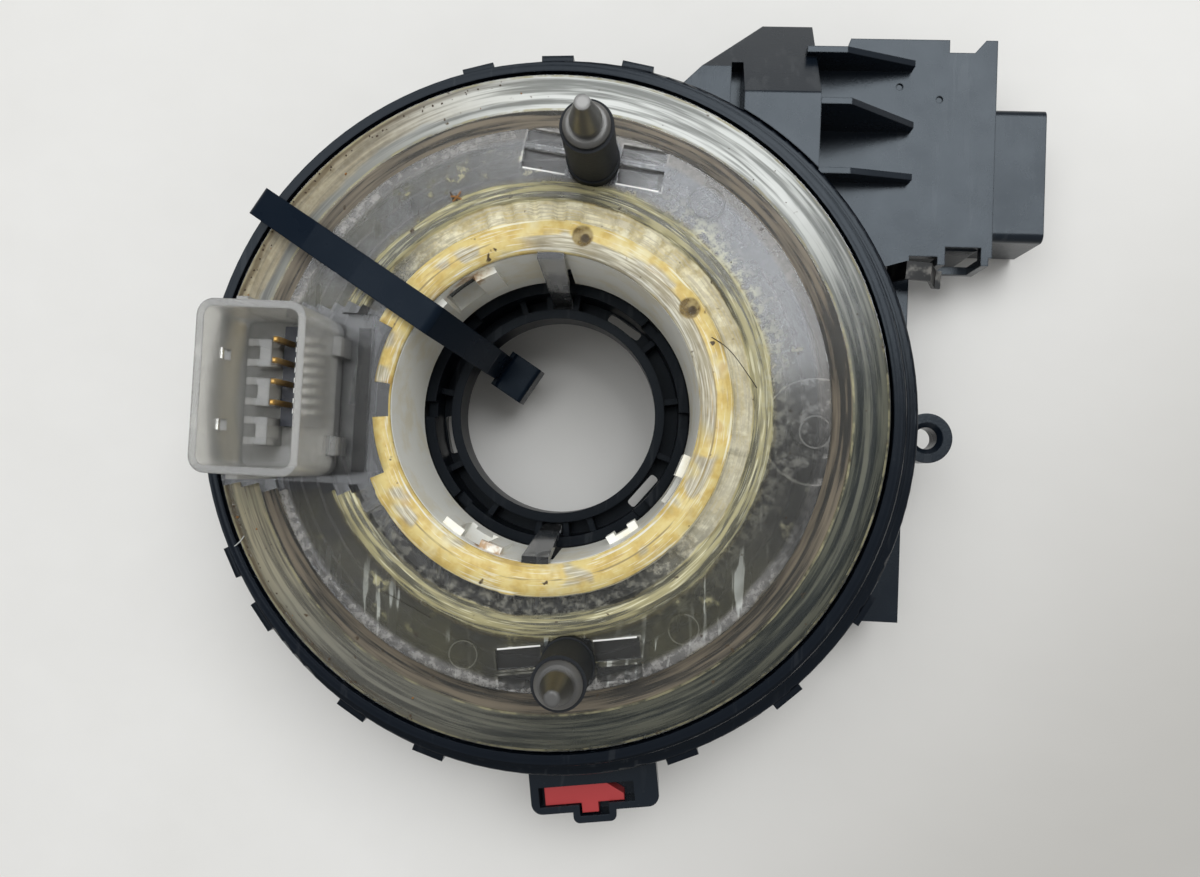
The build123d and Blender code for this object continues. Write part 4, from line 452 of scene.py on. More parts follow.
# The film's colours, from the hub outwards: dirt, with painted highlights and shade among them
DIRT_AND_PAINTED_LIGHT = SimpleNamespace(
    honey=(0.68, 0.49, 0.155), straw=(0.76, 0.61, 0.25), cream=(0.83, 0.75, 0.46), amber=(0.50, 0.27, 0.07),
    bare_dull=(0.34, 0.32, 0.26), bare_pale=(0.62, 0.60, 0.52), lip_thread=(0.92, 0.88, 0.68),
    lip_brown=(0.46, 0.31, 0.11), trough_dull=(0.22, 0.22, 0.19), trough_pale=(0.50, 0.48, 0.40),
    trough_honey=(0.56, 0.47, 0.25), trough_cream=(0.80, 0.74, 0.52), trough_thread=(0.58, 0.52, 0.36),
    trough_grey=(0.38, 0.36, 0.29), haze=(0.30, 0.29, 0.25), olive=(0.155, 0.147, 0.09),
    frosted=(0.47, 0.48, 0.50), ridge_olive=(0.28, 0.265, 0.18), ridge_straw=(0.52, 0.465, 0.25),
    ridge_thread_highlight=(0.78, 0.75, 0.55), flange_dark=(0.20, 0.18, 0.13), flange_straw=(0.37, 0.33, 0.22),
    flange_moss=(0.30, 0.28, 0.19), tan_dark=(0.33, 0.275, 0.175), tan_pale=(0.43, 0.375, 0.26),
    tan_grey=(0.25, 0.255, 0.24), bottom_dark=(0.13, 0.128, 0.11), bottom_pale=(0.22, 0.215, 0.18),
    silver_dull=(0.36, 0.37, 0.34), silver_pale=(0.76, 0.77, 0.73), shadow_dark=(0.028, 0.034, 0.032),
    shadow_pale=(0.125, 0.125, 0.095), stain=(0.55, 0.50, 0.27), fuzz=(0.60, 0.59, 0.46),
    rim_frost=(0.50, 0.48, 0.45), step_dark=(0.06, 0.058, 0.052), step_brown=(0.27, 0.225, 0.165),
    scratch=(0.62, 0.64, 0.60), grime_line=(0.12, 0.085, 0.045), edge_highlight=(0.44, 0.40, 0.24),
    speck=(0.10, 0.07, 0.04), pocket_edge_highlight=(0.72, 0.71, 0.68), glint=(0.88, 0.87, 0.83),
    ejector_ring=(0.09, 0.09, 0.085), hole_brown=(0.26, 0.17, 0.05), hole_honey=(0.60, 0.46, 0.20),
    hole_pit_shade=(0.05, 0.028, 0.01),
)
# Rings that the mould's ejectors left: angle, distance from the axis and radius in millimetres
EJECTOR_RINGS = ((54.3, 33.1, 2.25), (-54.9, 32.9, 1.9), (-105.4, 32.9, 1.8), (-2.4, 34.2, 2.0))
FROSTED_PATCH = (105.0, 34.6)            # angle and distance from the axis
WET_MARK = (-2.4, 34.2)                  # the same
# Pockets, with painted highlights along their edges, and a painted glint beside a guide pin, in millimetres
# from the pin: out, across, half length, half width
PIN_POCKETS = ((2.0, 6.25, 1.0, 2.95), (-1.0, 6.25, 1.4, 2.95))
PIN_GLINT = (-2.35, 6.1, 0.14, 2.8)


class Film:
    """The noises and masks that the film's colour and cover share."""

    def __init__(self, g):
        self.g = g
        self.place = g.place()
        self.by_pin = use_group(g, PIN_FOLD, Position=self.place)["Folded"]
        self.fine = g.noise(self.place, 900.0, 3.0, 0.7)
        self.broad = g.noise(self.place, 130.0, 4.0, 0.6)
        self.clump = g.noise(self.place, 380.0, 3.0, 0.65)
        self.streak = self.streaks(around=2.4, across=1500.0, detail=3.0)
        self.thread = self.streaks(around=6.0, across=4600.0, detail=1.0)
        self.scratches = use_group(g, SCUFFING, Position=self.place, Scratch_Scale=950.0, Patch_Scale=75.0,
                                   Amount=1.0)["Mask"]
        self.side = SimpleNamespace(**{name: side_mask(g, self.place, *values)
                                       for name, values in FILM_SIDES.items()})
        self.olive = g.maths("MAXIMUM", self.side.left, g.times(self.side.bottom, 1.25))
        stain = g.ramp(g.noise(self.place, 210.0, 2.0, 0.7), 0.58, 0.70)
        stain = g.times(stain, g.ramp(self.fine, 0.40, 0.60))
        self.stain = g.times(g.times(stain, 0.6), self.zone("stained"))
        fuzz = g.times(self.zone("fuzzy"), g.times(self.side.right, g.ramp(self.fine, 0.38, 0.62)))
        self.fuzz = g.times(fuzz, g.minus(1.0, g.times(self.side.lower_right, 0.8)))

    def streaks(self, around, across, detail):
        return use_group(self.g, POLAR_STREAKS, Position=self.place, Around=around, Across=across,
                         Detail=detail)["Streak"]

    def ring(self, inner, outer, softness, raggedness):
        return use_group(self.g, RING_MASK, Position=self.place, Inner=inner * MM, Outer=outer * MM,
                         Softness=softness * MM, Raggedness=raggedness * MM, Wobble=self.broad)["Mask"]

    def zone(self, name):
        return self.ring(*FILM_ZONES[name])

    def spot(self, centre, radius, softness, raggedness=0.0):
        return use_group(self.g, SPOT_MASK, Position=self.place, Spot=centre, Radius=radius * MM,
                         Softness=softness * MM, Raggedness=raggedness * MM, Wobble=self.clump)["Mask"]

    def beside_pin(self, out, across, half_length, half_width, softness, line):
        return use_group(self.g, BOX_MASK, Position=self.by_pin, Spot=Vector((out, across, 0.0)) * MM,
                         Half_Size=(half_length * MM, half_width * MM, 1.0), Softness=softness * MM,
                         Line=line * MM)

    def streaky(self, dark, pale, low=0.36, high=0.62):
        """Colour of wiped dirt, from dark to pale with the streaks."""
        return self.g.mix(self.g.ramp(self.streak, low, high), dark, pale)


def lip_colour(g, film):
    """Grease on the lip: honey and cream, worn bare in patches, with a thin brown line and painted highlights
    along its edges.
    """
    colour = g.mix(g.ramp(film.clump, 0.40, 0.62), DIRT_AND_PAINTED_LIGHT.honey, DIRT_AND_PAINTED_LIGHT.straw)
    colour = g.mix(g.ramp(film.broad, 0.52, 0.72), colour, DIRT_AND_PAINTED_LIGHT.cream)
    amber = g.ramp(g.noise(film.place, 260.0, 1.0, 0.5), 0.62, 0.72)
    colour = g.mix(g.times(amber, 0.45), colour, DIRT_AND_PAINTED_LIGHT.amber)
    bare = g.ramp(g.noise(film.place, 150.0, 2.0, 0.6), 0.54, 0.62)
    bare = g.maths("MAXIMUM", g.times(bare, film.zone("lip_bare")),
                   g.times(film.zone("lip_inside"), film.side.lip_creamy))
    colour = g.mix(g.times(bare, 0.8), colour,
                   g.mix(g.ramp(film.thread, 0.35, 0.65), DIRT_AND_PAINTED_LIGHT.bare_dull, DIRT_AND_PAINTED_LIGHT.bare_pale))
    colour = g.mix(g.times(g.ramp(film.thread, 0.56, 0.70), 0.55), colour, DIRT_AND_PAINTED_LIGHT.lip_thread)
    colour = g.mix(g.times(g.ramp(film.streak, 0.42, 0.30), 0.55), colour, DIRT_AND_PAINTED_LIGHT.lip_brown)
    # a brown line in the middle of the lip, and pale painted highlights along its edges
    for inner, outer, tone, low in LIP_LINES:
        line = film.ring(inner, outer, softness=0.06, raggedness=0.1)
        line = g.times(line, g.ramp(film.streak, low, low + 0.1))
        colour = g.mix(line, colour, tone)
    return colour


def trough_colour(g, film):
    """Dirt in the trough: cream on one side, grey on the other."""
    dull = g.mix(g.ramp(film.fine, 0.35, 0.7), DIRT_AND_PAINTED_LIGHT.trough_dull, DIRT_AND_PAINTED_LIGHT.trough_pale)
    cream = g.mix(g.ramp(film.clump, 0.38, 0.62), DIRT_AND_PAINTED_LIGHT.trough_honey, DIRT_AND_PAINTED_LIGHT.trough_cream)
    cream = g.mix(g.ramp(film.thread, 0.40, 0.56), DIRT_AND_PAINTED_LIGHT.trough_thread, cream)
    cream = g.mix(g.times(film.side.lower_right, 0.6), cream, DIRT_AND_PAINTED_LIGHT.trough_grey)
    return g.mix(film.side.creamy, dull, cream)


def ridge_colour(g, film):
    colour = film.streaky(DIRT_AND_PAINTED_LIGHT.ridge_olive, DIRT_AND_PAINTED_LIGHT.ridge_straw, 0.38, 0.60)
    # painted highlights: pale lines along the ridge's turned threads
    return g.mix(g.times(g.ramp(film.thread, 0.58, 0.68), 0.5), colour, DIRT_AND_PAINTED_LIGHT.ridge_thread_highlight)


def flange_colour(g, film):
    """Colour of the flange: wiped olive dirt, tan at the upper left, silver towards the upper right and
    painted shadow, dark and streaky, towards the lower right.
    """
    colour = film.streaky(DIRT_AND_PAINTED_LIGHT.flange_dark, DIRT_AND_PAINTED_LIGHT.flange_straw)
    colour = g.mix(g.ramp(film.broad, 0.48, 0.66), colour, DIRT_AND_PAINTED_LIGHT.flange_moss)
    tan = g.mix(g.ramp(film.fine, 0.35, 0.65), DIRT_AND_PAINTED_LIGHT.tan_dark, DIRT_AND_PAINTED_LIGHT.tan_pale)
    tan = g.mix(film.zone("flange_grey"), tan, DIRT_AND_PAINTED_LIGHT.tan_grey)
    colour = g.mix(g.times(film.side.upper_left, 0.85), colour, tan)
    colour = g.mix(g.times(film.side.bottom, 0.9), colour, film.streaky(DIRT_AND_PAINTED_LIGHT.bottom_dark, DIRT_AND_PAINTED_LIGHT.bottom_pale))
    colour = g.mix(film.side.upper_right, colour, film.streaky(DIRT_AND_PAINTED_LIGHT.silver_dull, DIRT_AND_PAINTED_LIGHT.silver_pale, 0.35))
    # painted shadow: dark streaky colour over the flange's lower right
    return g.mix(film.side.lower_right, colour, film.streaky(DIRT_AND_PAINTED_LIGHT.shadow_dark, DIRT_AND_PAINTED_LIGHT.shadow_pale, 0.38, 0.66))


def film_colour(g, film):
    """The film's colour over the whole disc: dirt, with painted highlights and shadow."""
    plateau = g.mix(film.olive, DIRT_AND_PAINTED_LIGHT.haze, DIRT_AND_PAINTED_LIGHT.olive)
    plateau = g.mix(film.side.upper_right, plateau, DIRT_AND_PAINTED_LIGHT.frosted)
    colour = g.mix(film.zone("trough_tint"), lip_colour(g, film), trough_colour(g, film))
    colour = g.mix(film.zone("ridge_tint"), colour, ridge_colour(g, film))
    colour = g.mix(film.zone("plateau_tint"), colour, plateau)
    colour = g.mix(film.stain, colour, DIRT_AND_PAINTED_LIGHT.stain)
    colour = g.mix(film.fuzz, colour, DIRT_AND_PAINTED_LIGHT.fuzz)
    colour = g.mix(film.zone("frost"), colour, DIRT_AND_PAINTED_LIGHT.rim_frost)
    colour = g.mix(film.zone("step"), colour, film.streaky(DIRT_AND_PAINTED_LIGHT.step_dark, DIRT_AND_PAINTED_LIGHT.step_brown))
    colour = g.mix(g.times(film.scratches, g.times(film.side.bottom, film.zone("plateau_worn"))), colour,
                   DIRT_AND_PAINTED_LIGHT.scratch)
    colour = g.mix(film.zone("flange"), colour, flange_colour(g, film))
    colour = g.mix(g.times(g.times(film.zone("flange_line"), film.side.left), 0.7), colour, DIRT_AND_PAINTED_LIGHT.grime_line)
    # painted highlights: pale broken lines along the flange's inner and outer edges
    edge = g.maths("MAXIMUM", film.zone("outer_edge_highlight"), film.zone("inner_edge_highlight"))
    colour = g.mix(g.times(edge, g.ramp(film.clump, 0.40, 0.60, 0.15, 0.85)), colour, DIRT_AND_PAINTED_LIGHT.edge_highlight)
    return g.mix(g.ramp(g.noise(film.place, 700.0, 2.0), 0.70, 0.78), colour, DIRT_AND_PAINTED_LIGHT.speck)


def plateau_cover(g, film):
    """How much dirt covers the plateau: haze, scratches, stains and a wiped wet mark."""
    haze = g.plus(0.02, g.times(film.side.upper_right, g.ramp(film.broad, 0.3, 0.7, 0.24, 0.44)))
    haze = g.plus(haze, g.times(film.scratches, g.plus(0.08, g.times(film.side.bottom, 0.55))))
    haze = g.plus(haze, g.times(film.olive, g.ramp(film.broad, 0.34, 0.66, 0.05, 0.26)))
    dusty = g.times(g.ramp(film.fine, 0.40, 0.68, 0.05, 0.40),
                    g.minus(0.16, g.times(film.side.lower_right, 0.11)))
    haze = g.plus(haze, dusty)
    haze = g.plus(haze, g.plus(film.stain, g.times(film.fuzz, 0.7)))
    patch = film.spot(rotor_spot(*FROSTED_PATCH, PLATEAU_MARKS), radius=3.6, softness=0.3)
    haze = g.plus(haze, g.times(patch, g.ramp(film.thread, 0.45, 0.6, 0.02, 0.16)))
    wet_centre = rotor_spot(*WET_MARK, PLATEAU_MARKS)
    wet = film.spot(wet_centre, radius=6.4, softness=0.5, raggedness=0.2)
    wet_line = g.minus(film.spot(wet_centre, radius=6.7, softness=0.2, raggedness=0.2), wet, clamp=True)
    haze = g.plus(haze, g.times(wet_line, 0.45))
    haze = g.plus(haze, g.times(wet, g.ramp(film.clump, 0.5, 0.66, -0.04, 0.30)))
    return g.times(haze, film.zone("plateau"), clamp=True)


def add_plateau_marks(g, film, colour, haze):
    """Lays the moulded pockets, with painted highlights along their edges, a painted glint and the ejector
    rings over the plateau's dirt.
    """
    for pocket_place in PIN_POCKETS:
        pocket = film.beside_pin(*pocket_place, softness=0.12, line=0.16)
        haze = g.times(haze, g.minus(1.0, pocket["Mask"]))
        # painted highlight along each pocket's edge
        wear_and_edge_highlight = g.times(pocket["Outline"], g.ramp(film.clump, 0.44, 0.66, 0.03, 0.40))
        haze = g.plus(haze, wear_and_edge_highlight, clamp=True)
        colour = g.mix(wear_and_edge_highlight, colour, DIRT_AND_PAINTED_LIGHT.pocket_edge_highlight)
    # painted glint beside each guide pin
    glint = film.beside_pin(*PIN_GLINT, softness=0.06, line=0.0)["Mask"]
    haze = g.plus(haze, g.times(glint, 0.85), clamp=True)
    colour = g.mix(glint, colour, DIRT_AND_PAINTED_LIGHT.glint)
    for angle, distance, reach in EJECTOR_RINGS:
        away = use_group(g, SPOT_MASK, Position=film.place, Spot=rotor_spot(angle, distance, PLATEAU_MARKS),
                         Radius=0.001, Softness=0.001)["Distance"]
        off_line = g.maths("ABSOLUTE", g.minus(away, reach * MM))
        mark = g.ramp(off_line, 0.05 * MM, 0.14 * MM, 0.75, 0.0)
        mark = g.times(mark, g.ramp(film.clump, 0.36, 0.50, 0.3, 1.0))
        haze = g.plus(haze, mark, clamp=True)
        colour = g.mix(mark, colour, DIRT_AND_PAINTED_LIGHT.ejector_ring)
    return colour, haze


def film_cover(g, film, haze):
    """How much dirt covers the plastic over the whole disc."""
    lip = g.times(film.zone("lip"), g.ramp(film.clump, 0.25, 0.5, 0.80, 0.96))
    trough = g.plus(g.ramp(film.fine, 0.42, 0.7, 0.03, 0.38), g.times(film.side.creamy, 0.85), clamp=True)
    trough = g.times(film.zone("trough"), trough)
    ridge = g.times(film.zone("ridge"), g.ramp(film.streak, 0.36, 0.62, 0.30, 0.78))
    # the film's cover for the painted highlight lines on the ridge
    ridge = g.plus(ridge, g.times(film.zone("ridge_threads"), g.ramp(film.thread, 0.58, 0.68, 0.0, 0.25)))
    both_sides = g.plus(0.25, g.maths("MAXIMUM", film.side.left, film.side.bottom))
    frost = g.times(film.zone("frost"), g.times(g.ramp(film.fine, 0.40, 0.66, 0.04, 0.34), both_sides))
    flange = g.times(film.zone("flange"), g.ramp(film.streak, 0.34, 0.60, 0.58, 0.92))
    flange = g.times(flange, g.minus(1.0, g.times(film.side.bottom, 0.2)))
    cover = g.plus(g.plus(lip, trough), g.plus(ridge, haze))
    cover = g.plus(cover, g.plus(g.times(film.zone("step"), 0.72), flange))
    return g.plus(cover, frost, clamp=True)


def rotor_grime_and_painted_light():
    """Grease and dirt lying on the clear disc: cream on the lip, olive on the ridge, beige at the edge, with
    painted highlights along edges and pockets and painted shade in the holes and at the flange's lower right.
    """
    material, g, shader = new_material("rotor_grime_and_painted_light", (0.5, 0.48, 0.40), 0.42, Specular_IOR_Level=0.28)
    film = Film(g)
    colour, haze = add_plateau_marks(g, film, film_colour(g, film), plateau_cover(g, film))
    cover = film_cover(g, film, haze)
    for hole_angle in LIP_HOLE_ANGLES:
        centre = rotor_spot(hole_angle, LIP_HOLE_R, LIP_TOP)
        hole = film.spot(centre, radius=1.15, softness=0.35)
        colour = g.mix(hole, colour, g.mix(g.ramp(film.clump, 0.4, 0.6), DIRT_AND_PAINTED_LIGHT.hole_brown, DIRT_AND_PAINTED_LIGHT.hole_honey))
        # painted shade: a dark spot inside each blind hole, towards its lower right
        pit_shade = film.spot(centre + Vector((0.35, -0.3, 0.0)) * MM, radius=0.35, softness=0.4)
        colour = g.mix(g.times(pit_shade, 0.85), colour, DIRT_AND_PAINTED_LIGHT.hole_pit_shade)
        cover = g.times(cover, g.minus(1.0, g.times(hole, 0.35)))
    g.link(colour, shader["Base Color"])
    g.link(cover, shader["Alpha"])
    g.link(g.ramp(film.fine, 0.3, 0.7, 0.32, 0.6), shader["Roughness"])
    bump(g, shader, g.noise(film.place, 600.0, 2.0, 0.7), strength=0.35, distance=0.13 * MM)
    return material


def clear_tower():
    """Clear moulding of the connector tower, a little frosted."""
    material, g, shader = new_material("clear_moulding", (0.90, 0.89, 0.85), 0.10, Transmission_Weight=0.78,
                                       IOR=1.46)
    place = g.place()
    dust = use_group(g, DUST, Position=place, Speck_Scale=1300.0, Cover=0.5)
    scuffs = use_group(g, SCUFFING, Position=place, Scratch_Scale=600.0, Patch_Scale=140.0, Amount=0.6)
    clean, dusty = (0.98, 0.97, 0.93), (0.82, 0.76, 0.62)
    g.link(g.mix(g.times(dust["Mask"], 0.5), clean, dusty), shader["Base Color"])
    g.link(g.plus(0.04, g.times(g.noise(place, 200.0), 0.2)), shader["Roughness"])
    bump(g, shader, scuffs["Height"], strength=0.2, distance=0.04 * MM, edge_radius=TOWER_EDGE)
    return material


HUB_R = 20.0
# Stains round the hub's windows: angle, and height in millimetres
HUB_STAINS = ((128.4, 19.0), (243.0, 17.0), (122.0, 20.5), (250.0, 20.5), (330.0, 17.0))


def stained_white():
    """White sleeve with cream grease and amber stains round its windows."""
    material, g, shader = new_material("stained_white", (0.78, 0.76, 0.68), 0.42)
    place = g.place()
    white, grease, amber = (0.93, 0.92, 0.85), (0.80, 0.70, 0.45), (0.42, 0.22, 0.06)
    greased = g.ramp(g.noise(place, 170.0, 5.0, 0.6), 0.46, 0.66)
    colour = g.mix(g.times(greased, 0.45), white, grease)
    grain = g.noise(place, 520.0, 3.0)
    for angle, height in HUB_STAINS:
        mark = use_group(g, SPOT_MASK, Position=place, Spot=rotor_spot(angle, HUB_R, height), Radius=1.8 * MM,
                         Softness=1.6 * MM, Raggedness=1.6 * MM, Wobble=grain)["Mask"]
        mark = g.times(mark, g.ramp(grain, 0.42, 0.62))
        colour = g.mix(g.times(mark, 0.85), colour, amber)
    g.link(colour, shader["Base Color"])
    bump(g, shader, g.noise(place, 900.0, 3.0), strength=0.15, distance=0.04 * MM)
    return material


def turned_steel(name, colour, roughness, grime=0.35, edge_radius=0.0):
    """Turned metal with fine lines round it and grey dirt."""
    material, g, shader = new_material(name, colour, roughness, metallic=1.0)
    place = g.place()
    drawn = g.fill(g.add("ShaderNodeMapping"), Vector=place, Scale=(0.25, 0.25, 6.0))[0]
    lines = g.noise(drawn, 700.0, 3.0)
    dirt = g.ramp(g.noise(place, 500.0, 4.0), 0.5, 0.7)
    g.link(g.mix(g.times(dirt, grime), colour, (0.20, 0.19, 0.17)), shader["Base Color"])
    g.link(g.plus(roughness - 0.06, g.times(lines, 0.18)), shader["Roughness"])
    bump(g, shader, lines, strength=0.25, distance=GRAIN_DEPTH, edge_radius=edge_radius)
    return material


def aged_rubber():
    """Dull rubber with pale dust in its grain."""
    material, g, shader = new_material("aged_rubber", (0.035, 0.038, 0.042), 0.62, Specular_IOR_Level=0.25)
    place = g.place()
    dust = use_group(g, DUST, Position=place, Speck_Scale=1500.0, Cover=0.6)
    g.link(g.mix(dust["Mask"], (0.008, 0.010, 0.013), (0.045, 0.045, 0.044)), shader["Base Color"])
    bump(g, shader, g.noise(place, 1500.0, 4.0, 0.7), strength=0.5, distance=0.12 * MM)
    return material


def smooth_plastic(name, colour, roughness, speck=0.2):
    """Plain plastic with paler dust and soft edges."""
    material, g, shader = new_material(name, colour, roughness)
    place = g.place()
    dust = use_group(g, DUST, Position=place, Speck_Scale=1200.0, Cover=speck)
    pale = tuple(min(1.0, c * 1.5 + 0.12) for c in colour)
    g.link(g.mix(dust["Mask"], colour, pale), shader["Base Color"])
    bump(g, shader, g.noise(place, 1100.0, 2.0), strength=0.12, distance=GRAIN_DEPTH, edge_radius=MOULD_EDGE)
    return material


def toothed_white():
    """White comb on a dark foot, with painted shade where it runs under the tower's wall."""
    material, g, shader = new_material("carrier_white", (0.70, 0.70, 0.66), 0.4)
    place = g.place()
    tooth = side_mask(g, place, (0.0, 0.0, 1.0), 24.7, 24.9)
    # painted shade: the comb is greyer where it runs under the tower's wall
    under_wall_shade = side_mask(g, place, (1.0, 0.0, 0.0), -29.8, -29.4)
    comb = g.mix(under_wall_shade, (0.80, 0.80, 0.77), (0.33, 0.33, 0.31))
    g.link(g.mix(tooth, (0.016, 0.019, 0.030), comb), shader["Base Color"])
    return material


def nylon():
    """Dark strap nylon, low in gloss, with soft edges."""
    material, g, shader = new_material("tie_nylon", (0.004, 0.008, 0.015), 0.30, Specular_IOR_Level=0.09,
                                       Specular_Tint=COLD_SHEEN)
    place = g.place()
    g.link(g.ramp(g.noise(place, 160.0, 4.0), 0.3, 0.7, 0.22, 0.38), shader["Roughness"])
    bump(g, shader, g.noise(place, 700.0, 3.0), strength=0.12, distance=GRAIN_DEPTH, edge_radius=TOWER_EDGE)
    return material


def tape_film():
    """Dark flat cable with a brownish sheen."""
    material, g, shader = new_material("tape_film", (0.16, 0.12, 0.08), 0.3)
    place = g.place()
    g.link(g.mix(g.noise(place, 90.0), (0.03, 0.03, 0.03), (0.18, 0.16, 0.135)), shader["Base Color"])
    return material


CASE_BLACK = moulded_black("case_black", (0.004, 0.007, 0.012), 0.26)
SHELL_BLACK = moulded_black("shell_black", (0.004, 0.007, 0.012), 0.28)
RING_BLACK = moulded_black("ring_black", (0.003, 0.005, 0.009), 0.22, gloss=0.19, dust_cover=0.12,
                           turned_lines=0.8)
DRIVER_BLACK = moulded_black("driver_black", (0.002, 0.003, 0.005), 0.34, gloss=0.12, dust_cover=0.06)
BLOCK_BLACK = smooth_plastic("block_black", (0.010, 0.010, 0.012), 0.4)
CLEAR_DISC = clear_disc()
ROTOR_GRIME_AND_PAINTED_LIGHT = rotor_grime_and_painted_light()
CLEAR_TOWER = clear_tower()
WHITE_HUB = stained_white()
WHITE_CARRIER = toothed_white()
FIBRE_PALE = smooth_plastic("fibre_pale", (0.70, 0.70, 0.66), 0.4, speck=0.1)
PIN_STEEL = turned_steel("pin_steel", (0.17, 0.167, 0.16), 0.34, edge_radius=PIN_EDGE)
CLIP_STEEL = turned_steel("clip_steel", (0.02, 0.02, 0.02), 0.40, grime=0.3)
SCREW_STEEL = turned_steel("screw_steel", (0.55, 0.55, 0.55), 0.35)
SLEEVE_RUBBER = aged_rubber()
TIE_NYLON = nylon()
LOCK_RED = smooth_plastic("lock_red", (0.42, 0.032, 0.033), 0.42, speck=0.12)
TERMINAL_GOLD = turned_steel("terminal_gold", (0.48, 0.29, 0.09), 0.32, grime=0.3)
TAPE_FILM = tape_film()
BOARD_GREEN = smooth_plastic("board_green", (0.03, 0.14, 0.06), 0.35)
CHIP_BLACK = smooth_plastic("chip_black", (0.02, 0.02, 0.02), 0.4)
GRIT_BROWN = smooth_plastic("grit_brown", (0.075, 0.048, 0.028), 0.7, speck=0.1)
RUST_FLAKE = smooth_plastic("rust_flake", (0.30, 0.135, 0.035), 0.75, speck=0.1)
FIBRE_DARK = smooth_plastic("fibre_dark", (0.03, 0.022, 0.016), 0.5, speck=0.05)
FILM_UNDERSIDE = new_material("film_underside", (0.45, 0.42, 0.34), 0.5, Alpha=0.03)[0]

NODE_FINISH = {
    "case_body": CASE_BLACK, "retaining_ring": RING_BLACK, "lower_shell": SHELL_BLACK,
    "sensor_board": BOARD_GREEN, "board_chips": CHIP_BLACK, "light_barrier": CHIP_BLACK,
    "system_terminals": TERMINAL_GOLD, "outer_contact_block": BLOCK_BLACK, "ribbon_cable": TAPE_FILM,
    "ground_clip": CLIP_STEEL, "cover_screws": SCREW_STEEL, "cable_tie": TIE_NYLON, "lock_slide": LOCK_RED,
    "rotor_cover": CLEAR_DISC, "wheel_connector": CLEAR_TOWER, "terminal_carrier": WHITE_CARRIER,
    "wheel_terminals": TERMINAL_GOLD, "inner_contact_block": BLOCK_BLACK, "guide_pin_upper": PIN_STEEL,
    "guide_pin_lower": PIN_STEEL, "pin_sleeve_upper": SLEEVE_RUBBER, "pin_sleeve_lower": SLEEVE_RUBBER,
    "rotor_hub": WHITE_HUB, "driver_ring": DRIVER_BLACK, "code_disc": CHIP_BLACK,
}
for node_name, finish in NODE_FINISH.items():
    materials = NODES[node_name].data.materials
    materials.clear()
    materials.append(finish)

# ---- Dirt on the rotor ----

FILM_LIFT = 0.03 * MM
FILM_THICKNESS = 0.02 * MM
FILM_SEGMENTS = 360
# The film's section, as radius and height; no height means that it follows the plateau
FILM_PROFILE = ((LIP_IN_R, 22.5), (19.66, LIP_TOP), (21.7, LIP_TOP), (23.65, LIP_TOP), (23.95, TROUGH_FLOOR),
                (25.75, TROUGH_FLOOR), (26.55, LIP_TOP), (28.4, LIP_TOP), (28.88, PLATEAU_TOP), (30.5, None),
                (32.5, None), (34.5, None), (36.1, None), (36.3, STEP_TOP), (39.0, STEP_TOP),
                (39.2, FLANGE_TOP), (41.5, FLANGE_TOP), (43.8, FLANGE_TOP))
BLOCK_REACH = 2.6                        # degrees to each side of a trough block that the film is raised
PAD_ZONE = (-40.2, -21.6, 11.3)          # rotor frame: left, right and half height of the bare pad


def add_piece(name, mesh, body, finish=None):
    """Puts a finished mesh into the scene on a body."""
    piece = bpy.data.objects.new(name, mesh)
    bpy.context.scene.collection.objects.link(piece)
    if finish:
        mesh.materials.append(finish)
    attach(piece, body)
    return piece


def in_pad(spot):
    """Whether a point lies over the flat pad under the tower."""
    left, right, half = PAD_ZONE
    local = Matrix.Rotation(-ROTOR_TURN, 3, "Z") @ spot / MM
    return left < local.x < right and abs(local.y) < half


def film_height(angle, radius, height):
    """Level in millimetres under the film; it steps over the short blocks in the trough."""
    if height is None:
        return plateau_height(radius)
    over_block = any(abs((angle - block + 180.0) % 360.0 - 180.0) < BLOCK_REACH
                     for block in TROUGH_BLOCK_ANGLES)
    return TROUGH_BLOCK_TOP if over_block and height == TROUGH_FLOOR else height


def film_layer(work, lift):
    """One layer of the film's points: a ring of vertices for each step of the section."""
    turns = [360.0 * i / FILM_SEGMENTS for i in range(FILM_SEGMENTS)]
    lifted = Vector((0.0, 0.0, lift))
    return [[work.verts.new(rotor_spot(turn, radius, film_height(turn, radius, height)) + lifted)
             for turn in turns] for radius, height in FILM_PROFILE]


